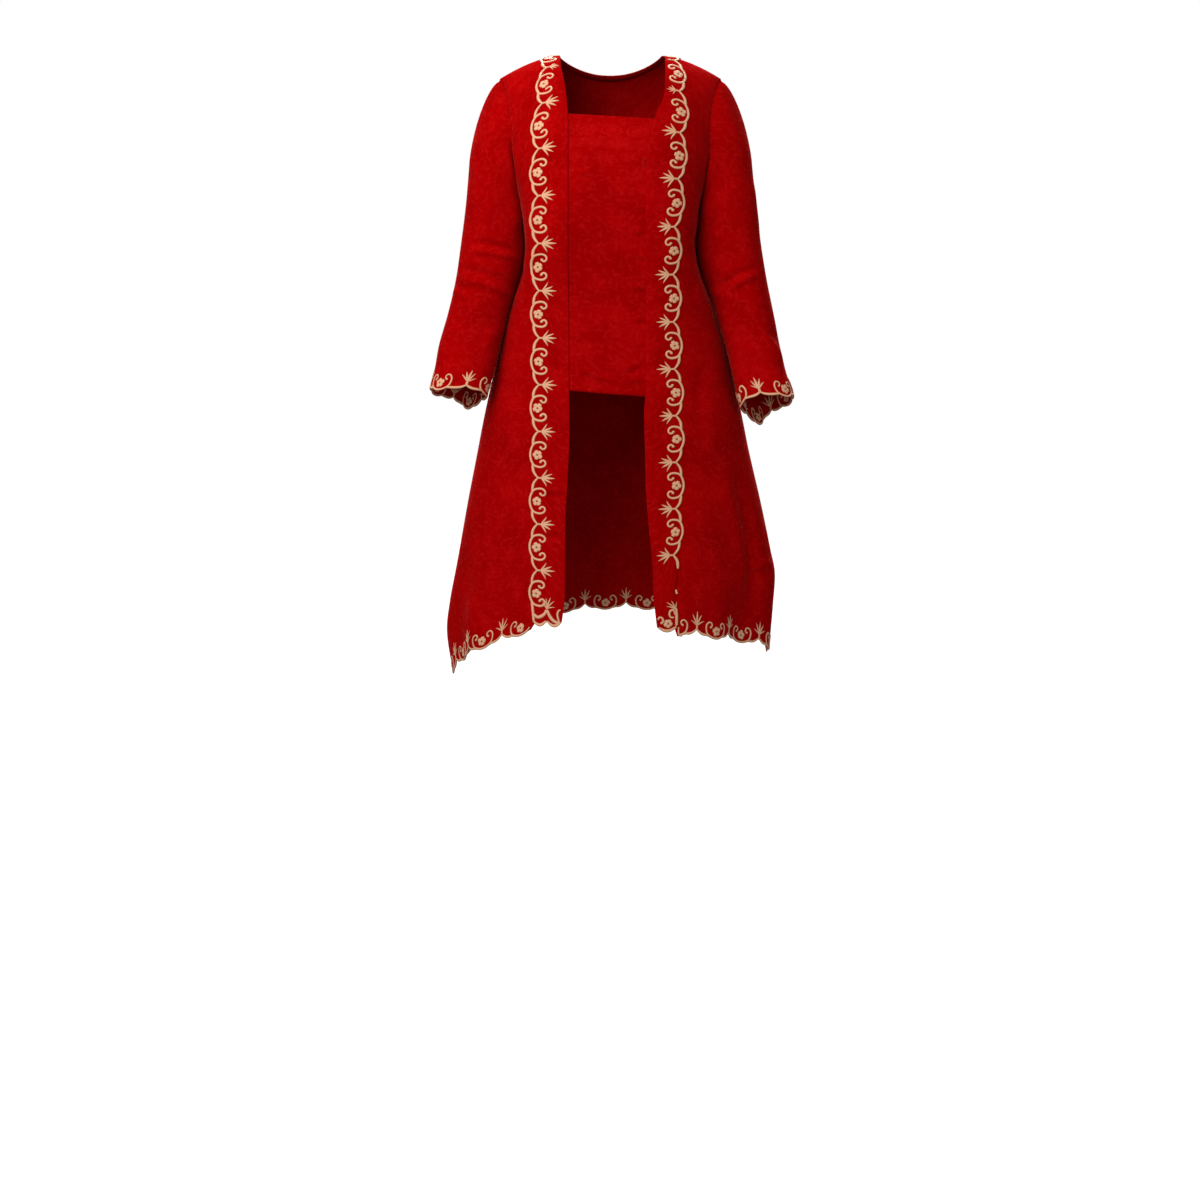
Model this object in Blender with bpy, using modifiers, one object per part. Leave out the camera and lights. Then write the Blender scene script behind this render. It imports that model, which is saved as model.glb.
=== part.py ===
"""Long kutubaru kebaya blouse, worn shape, as the cloth pieces that a maker cuts and sews.

Metres, +Z up. The front faces -Y and +X is the wearer's left. The origin is the middle of the neck
at the height of the shoulder line, where the wearer's shoulders carry the garment.

A point of the body cloth is read at an angle round the body (0 centre front, +90 the wearer's left
side seam, 180 centre back) and at a drop below the shoulder line. Each panel is a grid of such points
on its outer face, and Solidify gives it its wall.
"""
from math import asin, copysign, cos, pi, radians, sin, sqrt

import bpy
from mathutils import Vector

# ---------------------------------------------------------------- driving sizes
CLOTH = 0.0015              # wall of one layer
SEAM = 0.0003               # gap at seams
LAYER_GAP = 0.0009          # gap between a panel and the cloth that lies on it or under it
NECK_SIDE = 0.071           # neck point, out from the middle
SHOULDER_TIP = 0.155        # end of the shoulder seam, out from the middle
SHOULDER_FALL = 0.031       # the seam's fall from the neck point to its tip
SHOULDER_BEND = 1.6         # how late along the seam it falls
LEVEL_DROP = 0.30           # below this drop the rows of cloth lie level
ROLL_FRONT = 0.13           # drop over which the cloth rolls forward off the shoulder
ROLL_BACK = 0.11            # the same behind
UNDERARM_DROP = 0.20
ARMHOLE_CUT = {"front": radians(30), "back": radians(27)}    # how far the armhole cuts into a panel
ARMHOLE_HIGH = 0.65         # how high up the armhole is widest; 1 is halfway
ARMHOLE_ROUND = 0.75        # how round its ends are; 1 is pointed
NECK_BACK_DEPTH = 0.058     # back neckline, behind the shoulder line
NECK_BAND_WIDTH = 0.033     # lobes included
NECK_BAND_LOBES = 4
REPEAT = 0.0643             # length of one scallop, cusp to cusp
STEM_BULGE = 0.0082         # a lobe's shoulders past its cusps
STEM_RUN = 0.014            # length over which the edge comes out from a cusp
STEM_ROUND = 1.3            # how round it comes out; 1 is straight
SCROLL_BULGE = 0.0120       # a lobe's middle past its cusps
SCROLL_RADIUS = 0.026       # its curve there
SCROLL_HALF = 0.0147        # half the length of that curve
PANEL_UNDERLAP = 0.65       # columns of the fronts that the centre panel runs under
LOOP_WIRE = 0.0006          # radius of the fastening loop's thread
LOOP_DROP = 0.1445          # its upper end
LOOP_LENGTH = 0.0110
LOOP_REACH = 0.0034
LOOP_STEPS = 10

# ---------------------------------------------------------------- how finely the grids are cut
ROLL_STEPS = 6              # rows over the shoulder's roll
LOWER_DROPS = (0.165, UNDERARM_DROP, 0.235, 0.265, 0.29, 0.315, 0.34, 0.37, 0.41, 0.455, 0.51, 0.57,
               0.63, 0.69, 0.74)
SIDE_COLUMNS = 9            # columns of a front from its band to its side seam
BACK_COLUMNS = 24
HEM_SPLIT = 3               # hem columns to each column above
BAND_BOTTOM_SPLIT = 4       # the same on the bottom edge of a band
HEM_STRIP = 0.018           # height of the finely cut strip along an edge
BAND_COLUMNS = 3
NECK_BAND_COLUMNS = 4
SCALLOP_STEPS = 8
CURVE_SAMPLES = 48          # samples on which lengths are measured
NORMAL_STEP = 0.002         # in radians and in metres, to read the cloth's direction


class Table:
    """A short table of named columns, read on a smooth curve through its rows."""

    def __init__(self, names, *rows):
        self.names = names.split()
        self.rows = rows

    def read(self, name, at):
        column = self.names.index(name)
        keys = [row[0] for row in self.rows]
        values = [row[column] for row in self.rows]
        at = min(max(at, keys[0]), keys[-1])
        last = len(keys) - 1
        i = next(k for k in range(last) if at <= keys[k + 1])
        span = keys[i + 1] - keys[i]

        def slope(k):
            low, high = max(k - 1, 0), min(k + 1, last)
            return (values[high] - values[low]) / (keys[high] - keys[low])

        return hermite(values[i], slope(i) * span, values[i + 1], slope(i + 1) * span, (at - keys[i]) / span)


# half width on each side, depth in front and behind, and how square the ring is
TORSO = Table("drop right left front back square",
              (0.000, 0.155, 0.155, 0.112, 0.098, 2.0),
              (0.050, 0.157, 0.157, 0.114, 0.100, 2.2),
              (0.100, 0.149, 0.149, 0.118, 0.104, 2.5),
              (0.150, 0.137, 0.137, 0.124, 0.108, 3.0),
              (0.200, 0.126, 0.125, 0.128, 0.106, 3.7),
              (0.240, 0.1205, 0.1195, 0.127, 0.101, 4.2),
              (0.270, 0.1200, 0.1195, 0.124, 0.097, 4.2),
              (0.300, 0.124, 0.126, 0.121, 0.094, 3.8),
              (0.336, 0.137, 0.142, 0.118, 0.093, 3.2),
              (0.364, 0.147, 0.152, 0.118, 0.094, 2.8),
              (0.402, 0.158, 0.166, 0.119, 0.097, 2.5),
              (0.450, 0.170, 0.179, 0.122, 0.103, 2.3),
              (0.507, 0.183, 0.192, 0.128, 0.113, 2.2),
              (0.551, 0.192, 0.2015, 0.134, 0.121, 2.1),
              (0.624, 0.207, 0.2195, 0.144, 0.134, 2.0),
              (0.698, 0.221, 0.236, 0.155, 0.146, 2.0),
              (0.728, 0.227, 0.242, 0.159, 0.150, 2.0),
              (0.773, 0.236, 0.2395, 0.165, 0.156, 2.0),
              (0.818, 0.241, 0.236, 0.170, 0.160, 2.0),
              (0.880, 0.233, 0.232, 0.174, 0.164, 2.0))

# opening edge of each front and the width of its band, lobes included, both across the body
OPENING = Table("drop right left right_band left_band",
                (0.000, 0.0697, 0.0753, 0.0270, 0.0230),
                (0.020, 0.0675, 0.0750, 0.0330, 0.0280),
                (0.045, 0.0621, 0.0740, 0.0405, 0.0310),
                (0.063, 0.0597, 0.0715, 0.0450, 0.0350),
                (0.090, 0.0577, 0.0600, 0.0505, 0.0465),
                (0.140, 0.0575, 0.0500, 0.0525, 0.0540),
                (0.160, 0.0575, 0.0475, 0.0530, 0.0560),
                (0.266, 0.0579, 0.0480, 0.0528, 0.0495),
                (0.410, 0.0573, 0.0487, 0.0537, 0.0515),
                (0.455, 0.0572, 0.0489, 0.0545, 0.0530),
                (0.482, 0.0520, 0.0465, 0.0603, 0.0565),
                (0.517, 0.0491, 0.0470, 0.0636, 0.0562),
                (0.545, 0.0545, 0.0480, 0.0585, 0.0552),
                (0.592, 0.0589, 0.0490, 0.0546, 0.0542),
                (0.634, 0.0614, 0.0525, 0.0528, 0.0502),
                (0.700, 0.0618, 0.0588, 0.0529, 0.0400),
                (0.740, 0.0622, 0.0600, 0.0532, 0.0345),
                (0.780, 0.0680, 0.0648, 0.0440, 0.0290))

# drop of the hem's cusps: a front from its band to its side seam, the back from right to left
FRONT_HEM = Table("across right left",
                  (0.00, 0.779, 0.783),
                  (0.20, 0.799, 0.791),
                  (0.45, 0.822, 0.804),
                  (0.70, 0.846, 0.820),
                  (0.88, 0.867, 0.834),
                  (1.00, 0.871, 0.840))
BACK_HEM = Table("across drop",
                 (0.00, 0.871),
                 (0.10, 0.860),
                 (0.25, 0.834),
                 (0.50, 0.806),
                 (0.78, 0.820),
                 (1.00, 0.840))
HEM_UNDER_BAND = {"right": 0.7725, "left": 0.7795}     # just above the cusps of the band's bottom
FAN_START = 0.50            # below this drop the rows begin to follow the hem's slope
FIRST_CUSP = {"right": 0.050, "left": 0.029, "back": 0.030}     # along the hem from where a piece starts
BAND_CUSP_HEIGHT = {"right": -0.1285, "left": -0.1704}
BAND_BOTTOM = {"right": 0.7720, "left": 0.7790}
BAND_BOTTOM_LOBES = {"right": 2, "left": 1}
BAND_BOTTOM_BULGE = 0.008
# the left band's edge is turned under between these heights, so no scallop shows there
TURNED_UNDER = {"right": None, "left": (-0.695, -0.745)}
TURNED_FADE = 0.02
TURNED_DEPTH = 0.004        # how far the turned edge lies inside the lobes' line

# soft flutes that open towards the hem: where they lie round the body, half width, push out, start
FLUTES = Table("angle width push start",
               (-150, 12, 0.009, 0.52),
               (-128, 11, -0.010, 0.50),
               (-68, 9, -0.007, 0.60),
               (-52, 8, 0.005, 0.58),
               (-36, 8, -0.005, 0.62),
               (55, 9, -0.017, 0.56),
               (73, 8, 0.005, 0.58),
               (124, 11, -0.010, 0.50),
               (148, 12, 0.009, 0.50),
               (176, 12, -0.009, 0.54))
FLUTE_FULL_DROP = 0.82

# centre panel: drop of its top and bottom edge at the wearer's right and left
PANEL_TOP = {"right": 0.0840, "left": 0.0920}
PANEL_BOTTOM = {"right": 0.4550, "left": 0.4650}
PANEL_MIDDLE_COLUMNS = 6
PANEL_ROW_GAP = 0.004       # a row of the fronts is passed over this near the panel's top or bottom

# rings of a sleeve: its outer and inner edge, the middle's y, half its depth, how far the front edge
# stands higher than the rear one, and how far the inner front edge leans in over the body
SLEEVES = {
    "right": Table("ring outer_x outer_z inner_x inner_z mid_y half_depth front_rise lean",
                   (0, 0.1982, -0.1480, 0.1240, -0.2360, -0.006, 0.060, 0.0000, 0.000),
                   (1, 0.2040, -0.2060, 0.1225, -0.2640, -0.008, 0.058, 0.0020, 0.000),
                   (2, 0.2115, -0.2600, 0.1245, -0.2880, -0.010, 0.056, 0.0040, 0.000),
                   (3, 0.2190, -0.3080, 0.1332, -0.3230, -0.015, 0.053, 0.0060, 0.002),
                   (4, 0.2298, -0.3540, 0.1462, -0.3600, -0.024, 0.050, 0.0080, 0.006),
                   (5, 0.2422, -0.3970, 0.1585, -0.4040, -0.034, 0.047, 0.0110, 0.010),
                   (6, 0.2475, -0.4270, 0.1680, -0.4395, -0.042, 0.045, 0.0135, 0.012),
                   (7, 0.2515, -0.4455, 0.1745, -0.4610, -0.048, 0.043, 0.0145, 0.014)),
    "left": Table("ring outer_x outer_z inner_x inner_z mid_y half_depth front_rise lean",
                  (0, 0.1990, -0.1480, 0.1230, -0.2360, -0.006, 0.060, 0.0000, 0.000),
                  (1, 0.2056, -0.2060, 0.1220, -0.2640, -0.008, 0.058, 0.0020, 0.000),
                  (2, 0.2135, -0.2600, 0.1255, -0.2880, -0.010, 0.056, 0.0050, 0.000),
                  (3, 0.2218, -0.3080, 0.1368, -0.3230, -0.015, 0.053, 0.0070, 0.002),
                  (4, 0.2312, -0.3540, 0.1514, -0.3600, -0.024, 0.050, 0.0100, 0.006),
                  (5, 0.2405, -0.4000, 0.1665, -0.4060, -0.034, 0.047, 0.0140, 0.011),
                  (6, 0.2485, -0.4360, 0.1775, -0.4470, -0.042, 0.045, 0.0175, 0.014),
                  (7, 0.2560, -0.4570, 0.1850, -0.4790, -0.048, 0.044, 0.0200, 0.017)),
}
INNER_RISE = 0.4            # how much more the inner edge takes of the front's rise than the middle
SLEEVE_SQUARE = 2.3
SLEEVE_GAP = 0.0006         # gap at the armhole, whose two walls lean together
SLEEVE_LIP = 0.004          # the sleeve leaves the armhole along the body cloth for this far
CAP_STEPS = (0.0, 0.16, 0.32, 0.50, 0.70, 0.86)
CAP_ROUND = 1.45            # how round the cap falls over the shoulder tip: 2 is an ellipse, 1 straight
UNDERARM_FOLD = 0.006       # how far the sleeve stands off the body where it turns down at the underarm
CUFF_STRIP = 0.0035         # height of each plain strip between the last ring and the cuff's scallops
CUFF_REPEATS = 4
CUFF_PHASE = {"right": 0.38, "left": 0.38}     # first cusp, in repeats from the underarm seam

RED = (0.42, 0.004, 0.006, 1.0)
THREAD_RED = (0.50, 0.012, 0.012, 1.0)


# ---------------------------------------------------------------- curves
def hermite(start, start_slope, end, end_slope, t):
    """A cubic between two values or two points, with its slope given at each end."""
    return (start * (2 * t ** 3 - 3 * t ** 2 + 1) + start_slope * (t ** 3 - 2 * t ** 2 + t)
            + end * (3 * t ** 2 - 2 * t ** 3) + end_slope * (t ** 3 - t ** 2))


def ease(t):
    t = min(max(t, 0.0), 1.0)
    return t * t * (3 - 2 * t)


def power(value, exponent):
    return copysign(abs(value) ** exponent, value)


def even_steps(curve, count):
    """The places t between 0 and 1 that cut a curve into equal lengths."""
    points = [curve(k / CURVE_SAMPLES) for k in range(CURVE_SAMPLES + 1)]
    lengths = [0.0]
    for a, b in zip(points, points[1:]):
        lengths.append(lengths[-1] + (b - a).length)
    steps = []
    for k in range(count + 1):
        want = lengths[-1] * k / count
        i = min(next(j for j, length in enumerate(lengths) if length >= want - 1e-12), CURVE_SAMPLES)
        i = max(i, 1)
        part = (want - lengths[i - 1]) / (lengths[i] - lengths[i - 1])
        steps.append((i - 1 + part) / CURVE_SAMPLES)
    return steps


def scallop(along):
    """How far a cut edge stands past its cusps, at a length along it from a cusp."""
    from_cusp = REPEAT * abs((along / REPEAT + 0.5) % 1 - 0.5)
    from_middle = REPEAT / 2 - from_cusp
    if from_middle < SCROLL_HALF:
        return SCROLL_BULGE - SCROLL_RADIUS + sqrt(SCROLL_RADIUS ** 2 - from_middle ** 2)
    return STEM_BULGE * (1 - max(1 - from_cusp / STEM_RUN, 0) ** STEM_ROUND)


# ---------------------------------------------------------------- the body cloth's form
def side_of(x):
    return "left" if x >= 0 else "right"


def flute_push(angle, drop):
    """How far the flutes push the cloth outward."""
    push = 0.0
    for centre, width, depth, start in FLUTES.rows:
        away = abs((angle - radians(centre) + pi) % (2 * pi) - pi) / radians(2 * width)
        if away < 1:
            push += depth * (0.5 + 0.5 * cos(pi * away)) * ease((drop - start) / (FLUTE_FULL_DROP - start))
    return push


def depth_at(face, drop):
    roll = ROLL_FRONT if face == "front" else ROLL_BACK
    return TORSO.read(face, drop) * sqrt(1 - (1 - min(drop / roll, 1)) ** 2)


def shoulder_height(x, drop):
    """Height of a row at x: it follows the shoulder seam at the top and lies level lower down."""
    past_neck = max(abs(x) - NECK_SIDE, 0) / (SHOULDER_TIP - NECK_SIDE)
    return -SHOULDER_FALL * past_neck ** SHOULDER_BEND * (1 - ease(drop / LEVEL_DROP))


def torso(angle, drop):
    """A point of the body cloth's outer face."""
    s, c = sin(angle), cos(angle)
    curve = 2 / TORSO.read("square", drop)
    x = power(s, curve) * TORSO.read(side_of(s), drop)
    y = -power(c, curve) * depth_at("front" if c >= 0 else "back", drop)
    push = flute_push(angle, drop)
    return Vector((x + s * push, y - c * push, shoulder_height(x, drop) - drop))


def torso_normal(angle, drop):
    """The outward direction of the body cloth."""
    across = torso(angle + NORMAL_STEP, drop) - torso(angle - NORMAL_STEP, drop)
    down = torso(angle, drop + NORMAL_STEP) - torso(angle, max(drop - NORMAL_STEP, 0))
    return down.cross(across).normalized()


def angle_at(x, drop):
    """The angle in front at which a row reaches x."""
    share = min(abs(x) / TORSO.read(side_of(x), drop), 1)
    return copysign(asin(share ** (TORSO.read("square", drop) / 2)), x)


def armhole_angle(face, drop):
    """Angle from the middle of a face at which its panel stops, at the armhole or the side seam."""
    if drop >= UNDERARM_DROP:
        return pi / 2
    scoop = sin(pi * (drop / UNDERARM_DROP) ** ARMHOLE_HIGH) ** ARMHOLE_ROUND
    return pi / 2 - ARMHOLE_CUT[face] * scoop


def shoulder_drops():
    return [ROLL_FRONT * (1 - cos(pi / 2 * k / ROLL_STEPS)) for k in range(ROLL_STEPS + 1)]


BODY_DROPS = shoulder_drops() + list(LOWER_DROPS)
ARMHOLE_DROPS = [drop for drop in BODY_DROPS if drop <= UNDERARM_DROP]


# ---------------------------------------------------------------- grids and walls
def from_axis(centre):
    """Outward from the body's upright axis, and upward over the shoulders."""
    return Vector((centre.x, centre.y, SHOULDER_FALL))


def offset_grid(grid, distance):
    """A grid moved along its own facets' directions, so that its facets stay parallel to them."""
    moved = []
    for r, row in enumerate(grid):
        line = []
        for c, point in enumerate(row):
            up, down = grid[max(r - 1, 0)][c], grid[min(r + 1, len(grid) - 1)][c]
            back, ahead = row[max(c - 1, 0)], row[min(c + 1, len(row) - 1)]
            normal = (down - up).cross(ahead - back).normalized()
            if normal.dot(from_axis(point)) < 0:
                normal.negate()
            line.append(point + normal * distance)
        moved.append(line)
    return moved


def grid_point(grid, r, c):
    """A point on a grid's facets, at a row and a column that need not be whole; past the last row
    it goes straight on."""
    i = min(int(r), len(grid) - 2)
    j = min(int(c), len(grid[0]) - 2)
    above = grid[i][j].lerp(grid[i][j + 1], c - j)
    below = grid[i + 1][j].lerp(grid[i + 1][j + 1], c - j)
    return above + (below - above) * (r - i)


def row_at_height(grid, column, height):
    """The row, not always a whole one, at which a column of a grid comes down to a height."""
    for r in range(len(grid) - 1):
        top, bottom = grid[r][column].z, grid[r + 1][column].z
        if height >= bottom or r == len(grid) - 2:
            return r + (top - height) / (top - bottom)


def strip_faces(start_a, count_a, start_b, count_b):
    """Faces between two rows of points, the second cut some whole times as finely as the first."""
    split = (count_b - 1) // (count_a - 1)
    faces = []
    for k in range(count_a - 1):
        lower = [start_b + k * split + m for m in range(split, -1, -1)]
        faces.append([start_a + k, start_a + k + 1] + lower)
    return faces


def cloth(name, rows, outward, material, offset=-1, splits=None):
    """A wall of cloth on rows of points; offset -1 puts its thickness inside them and 1 outside."""
    points, faces, starts = [], [], []
    for row in rows:
        starts.append(len(points))
        points.extend(row)
    for k, (a, b) in enumerate(zip(rows, rows[1:])):
        if len(a) == len(b):
            faces += strip_faces(starts[k], len(a), starts[k + 1], len(b))
        else:
            faces += splits(starts[k], starts[k + 1])
    return wall(name, points, faces, outward, material, offset)


def wall(name, points, faces, outward, material, offset):
    """An object of one open surface with Solidify; its faces are turned to look outward."""
    mesh = bpy.data.meshes.new(name)
    mesh.from_pydata([tuple(p) for p in points], [], faces)
    mesh.update()
    if sum(f.normal.dot(outward(f.center)) * f.area for f in mesh.polygons) < 0:
        mesh.flip_normals()
    mesh.shade_smooth()
    mesh.materials.append(material)
    piece = bpy.data.objects.new(name, mesh)
    collection.objects.link(piece)
    thickness = piece.modifiers.new("wall", "SOLIDIFY")
    thickness.thickness = CLOTH
    thickness.offset = offset
    thickness.use_even_offset = True
    return piece


def mitre(rows, ends):
    """Draws the points along a shoulder or side seam back, so that the inner edges of two walls that
    lean towards each other stay a seam's gap apart."""
    seams = [(0, c) for c in range(len(rows[0]))]
    seams += [(r, c) for r in range(1, len(rows)) for c in ends if abs(rows[r][c].y) < 2 * SEAM]
    shifts = []
    for r, c in seams:
        row = rows[r]
        c %= len(row)
        across = row[min(c + 1, len(row) - 1)] - row[max(c - 1, 0)]
        up, down = rows[max(r - 1, 0)], rows[min(r + 1, len(rows) - 1)]
        edge = -1 if c else 0
        fall = rows[1][c] - row[c] if r == 0 else down[edge] - up[edge]
        shifts.append(abs(across.cross(fall).normalized().y) * CLOTH)
    for (r, c), shift in zip(seams, shifts):
        rows[r][c].y += copysign(shift, rows[r][c].y)




# ---------------------------------------------------------------- fronts
def front_row(side, drop, count, follow, extra=None):
    """Points of a row of a front, from its opening edge to its armhole or side seam. `follow` is how
    far the row takes the hem's slope, and `extra` adds to the drop at a length along the row."""
    sign = 1 if side == "left" else -1
    opening = OPENING.read(side, drop)
    width = OPENING.read(side + "_band", drop)
    slope_start = FRONT_HEM.read(side, 0)
    start = abs(angle_at(sign * (opening + width), drop))
    stop = armhole_angle("front", drop)

    def place(t, more=0.0):
        fall = (FRONT_HEM.read(side, t) - slope_start) * follow
        return torso(sign * (start + (stop - start) * t), drop + fall + more)

    row = [torso(angle_at(sign * (opening + width * k / BAND_COLUMNS), drop), drop)
           for k in range(BAND_COLUMNS)]
    along = 0.0
    last = place(0)
    for t in even_steps(place, count):
        along += (place(t) - last).length
        last = place(t)
        row.append(place(t, extra(along) if extra else 0.0))
    return [point + Vector((0, -SEAM / 2, 0)) for point in row]


def front_grid(side):
    """The coarse grid of a front, down to where the finely cut hem strip starts."""
    full = HEM_UNDER_BAND[side] - FAN_START
    return [front_row(side, drop, SIDE_COLUMNS, ease((drop - FAN_START) / full)) for drop in BODY_DROPS]


def hem_rows(side):
    """The strip along a front's hem: a plain row and then the scalloped cut edge."""
    start = FRONT_HEM.read(side, 0)
    count = SIDE_COLUMNS * HEM_SPLIT
    plain = front_row(side, start - HEM_STRIP, count, 1.0)
    edge = front_row(side, start, count, 1.0, lambda along: scallop(along - FIRST_CUSP[side]))
    lift = start - HEM_UNDER_BAND[side]
    for row in (plain, edge):
        for k in range(BAND_COLUMNS):
            row[k].z += lift
    return plain, edge


def make_front(side):
    grid = front_grid(side)
    plain, edge = hem_rows(side)

    def splits(a, b):
        under_band = strip_faces(a, BAND_COLUMNS + 1, b, BAND_COLUMNS + 1)
        start_a, start_b = a + BAND_COLUMNS, b + BAND_COLUMNS
        return under_band + strip_faces(start_a, SIDE_COLUMNS + 1, start_b, SIDE_COLUMNS * HEM_SPLIT + 1)

    rows = grid + [plain, edge]
    mitre(rows, (-1,))
    cloth("front_" + side, rows, from_axis, red, splits=splits)
    under = [row[:BAND_COLUMNS + 1] for row in rows]
    for row in under[-2:]:
        row[-1] = row[-1] + Vector((0, 0, row[0].z - row[-1].z))
    return under


# ---------------------------------------------------------------- back
def back_neck_drop(x):
    """Drop of the back neckline at x: half an ellipse seen from above."""
    if abs(x) >= NECK_SIDE:
        return 0.0
    reach = NECK_BACK_DEPTH * sqrt(1 - (x / NECK_SIDE) ** 2)
    return back_drop(x, reach)


def back_drop(x, y):
    """The drop at which the back's cloth lies at x and y, on the roll behind the shoulders."""
    drop = 0.0
    for _ in range(5):
        exponent = TORSO.read("square", drop)
        share = min(abs(x) / TORSO.read(side_of(x), drop), 1)
        ring = (1 - share ** exponent) ** (1 / exponent)
        reach = min(y / (TORSO.read("back", drop) * max(ring, 1e-6)), 1)
        drop = ROLL_BACK * (1 - sqrt(1 - reach ** 2))
    return drop


def back_row(drop, count, follow, extra=None):
    """Points of a row of the back, from the right side to the left through the centre back."""
    half = armhole_angle("back", drop)
    middle = BACK_HEM.read("drop", 0.5)
    neck_fade = max(1 - drop / ROLL_FRONT, 0)

    def place(t, more=0.0):
        angle = pi + half * (1 - 2 * t)
        x = torso(angle, drop).x
        fall = (BACK_HEM.read("drop", t) - middle) * follow + back_neck_drop(x) * neck_fade
        return torso(angle, drop + fall + more)

    row = []
    along = 0.0
    last = place(0)
    for t in even_steps(place, count):
        along += (place(t) - last).length
        last = place(t)
        row.append(place(t, extra(along) if extra else 0.0))
    return [point + Vector((0, SEAM / 2, 0)) for point in row]


def make_back():
    middle = BACK_HEM.read("drop", 0.5)
    full = middle - FAN_START
    rows = [back_row(drop, BACK_COLUMNS, ease((drop - FAN_START) / full)) for drop in BODY_DROPS]
    count = BACK_COLUMNS * HEM_SPLIT
    rows.append(back_row(middle - HEM_STRIP, count, 1.0))
    rows.append(back_row(middle, count, 1.0, lambda along: scallop(along - FIRST_CUSP["back"])))

    def splits(a, b):
        return strip_faces(a, BACK_COLUMNS + 1, b, count + 1)

    mitre(rows, (0, -1))
    cloth("back", rows, from_axis, red, splits=splits)


# ---------------------------------------------------------------- bands
def band_rows(side, under):
    """Rows of a band on its front's own facets, moved out: each of the front's rows and the steps of
    the scallops between them."""
    face = offset_grid(under, LAYER_GAP)
    length = [0.0]
    for a, b in zip(face, face[1:]):
        length.append(length[-1] + (b[1] - a[1]).length)

    def row_at(along):
        i = min(next((k for k in range(len(length) - 1) if along <= length[k + 1]), len(length) - 2),
                len(length) - 2)
        return i + (along - length[i]) / (length[i + 1] - length[i])

    def length_at(r):
        i = min(int(r), len(length) - 2)
        return length[i] + (length[i + 1] - length[i]) * (r - i)

    cusp = length_at(row_at_height(face, 1, BAND_CUSP_HEIGHT[side]))
    bottom = length_at(row_at_height(face, 1, -BAND_BOTTOM[side]))
    step = REPEAT / SCALLOP_STEPS
    first = cusp - step * int(cusp / step)
    places = set(length[:-1])
    for k in range(int((bottom - first) / step) + 1):
        place = first + k * step
        if min(abs(place - own) for own in length) > step * 0.3:
            places.add(place)
    places = sorted(place for place in places if place < bottom - step * 0.3) + [bottom]

    rows = []
    for along in places:
        r = row_at(along)
        width = OPENING.read(side + "_band", -grid_point(face, r, 0).z)
        plain = SCROLL_BULGE - scallop(along - cusp)
        turned = TURNED_UNDER[side]
        if turned:
            height = grid_point(face, r, 0).z
            inside = (ease((turned[0] - height) / TURNED_FADE + 1)
                      * ease((height - turned[1]) / TURNED_FADE + 1))
            plain += (TURNED_DEPTH - plain) * inside
        edge = BAND_COLUMNS * (1 - plain / width)
        rows.append([grid_point(face, r, edge * k / BAND_COLUMNS) if k == BAND_COLUMNS
                     else grid_point(face, r, min(k, edge)) for k in range(BAND_COLUMNS + 1)])
    return rows


def make_band(side, under):
    rows = band_rows(side, under)
    last = rows[-1]
    fine = []
    for k in range(BAND_COLUMNS):
        fine += [last[k].lerp(last[k + 1], m / BAND_BOTTOM_SPLIT) for m in range(BAND_BOTTOM_SPLIT)]
    fine.append(last[-1])
    down = (rows[-1][0] - rows[-2][0]).normalized()
    lobes = BAND_BOTTOM_LOBES[side]
    edge = []
    for k, point in enumerate(fine):
        bulge = BAND_BOTTOM_BULGE * abs(sin(pi * lobes * k / (len(fine) - 1)))
        edge.append(point + down * (CLOTH + bulge))
    cloth("band_" + side, rows[:-1] + [fine, edge], from_axis, red, offset=1,
          splits=lambda a, b: strip_faces(a, BAND_COLUMNS + 1, b, len(fine)))


def make_neck_band():
    """The band carried on round the back of the neck, on the back's cloth."""
    around = NECK_BAND_LOBES * SCALLOP_STEPS
    rows = []
    for k in range(NECK_BAND_COLUMNS + 1):
        row = []
        for m in range(around + 1):
            turn = pi * m / around
            edge = NECK_BAND_WIDTH + scallop(REPEAT * m / SCALLOP_STEPS) - SCROLL_BULGE
            out = edge * k / NECK_BAND_COLUMNS
            x = -(NECK_SIDE + out) * cos(turn)
            y = (NECK_BACK_DEPTH + out) * sin(turn)
            drop = back_drop(x, y)
            angle = pi - angle_at(x, drop)
            point = torso(angle, drop) + torso_normal(angle, drop) * LAYER_GAP
            row.append(point + Vector((0, SEAM / 2, 0)))
        rows.append(row)
    cloth("neck_band", rows, from_axis, red, offset=1)


# ---------------------------------------------------------------- centre panel
def make_centre_panel(under):
    """The straight panel between the fronts, its sides under their opening edges."""
    inside = {side: offset_grid(under[side], -(CLOTH + LAYER_GAP)) for side in under}
    rows_down = {side: [row_at_height(inside[side], 0, -PANEL_TOP[side])] for side in under}
    whole = [r for r, drop in enumerate(BODY_DROPS)
             if PANEL_TOP["left"] + PANEL_ROW_GAP < drop < PANEL_BOTTOM["right"] - PANEL_ROW_GAP]
    for side in under:
        rows_down[side] += whole
        rows_down[side].append(row_at_height(inside[side], 0, -PANEL_BOTTOM[side]))
    rows = []
    for r_right, r_left in zip(rows_down["right"], rows_down["left"]):
        right = [grid_point(inside["right"], r_right, c) for c in (PANEL_UNDERLAP, 0)]
        left = [grid_point(inside["left"], r_left, c) for c in (0, PANEL_UNDERLAP)]
        middle = []
        for k in range(1, PANEL_MIDDLE_COLUMNS):
            part = k / PANEL_MIDDLE_COLUMNS
            x = right[1].x + (left[0].x - right[1].x) * part
            drop = -(right[1].z + (left[0].z - right[1].z) * part)
            angle = angle_at(x, drop)
            middle.append(torso(angle, drop) - torso_normal(angle, drop) * (CLOTH + LAYER_GAP))
        rows.append(right + middle + left)
    cloth("centre_panel", rows, from_axis, red)


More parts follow.
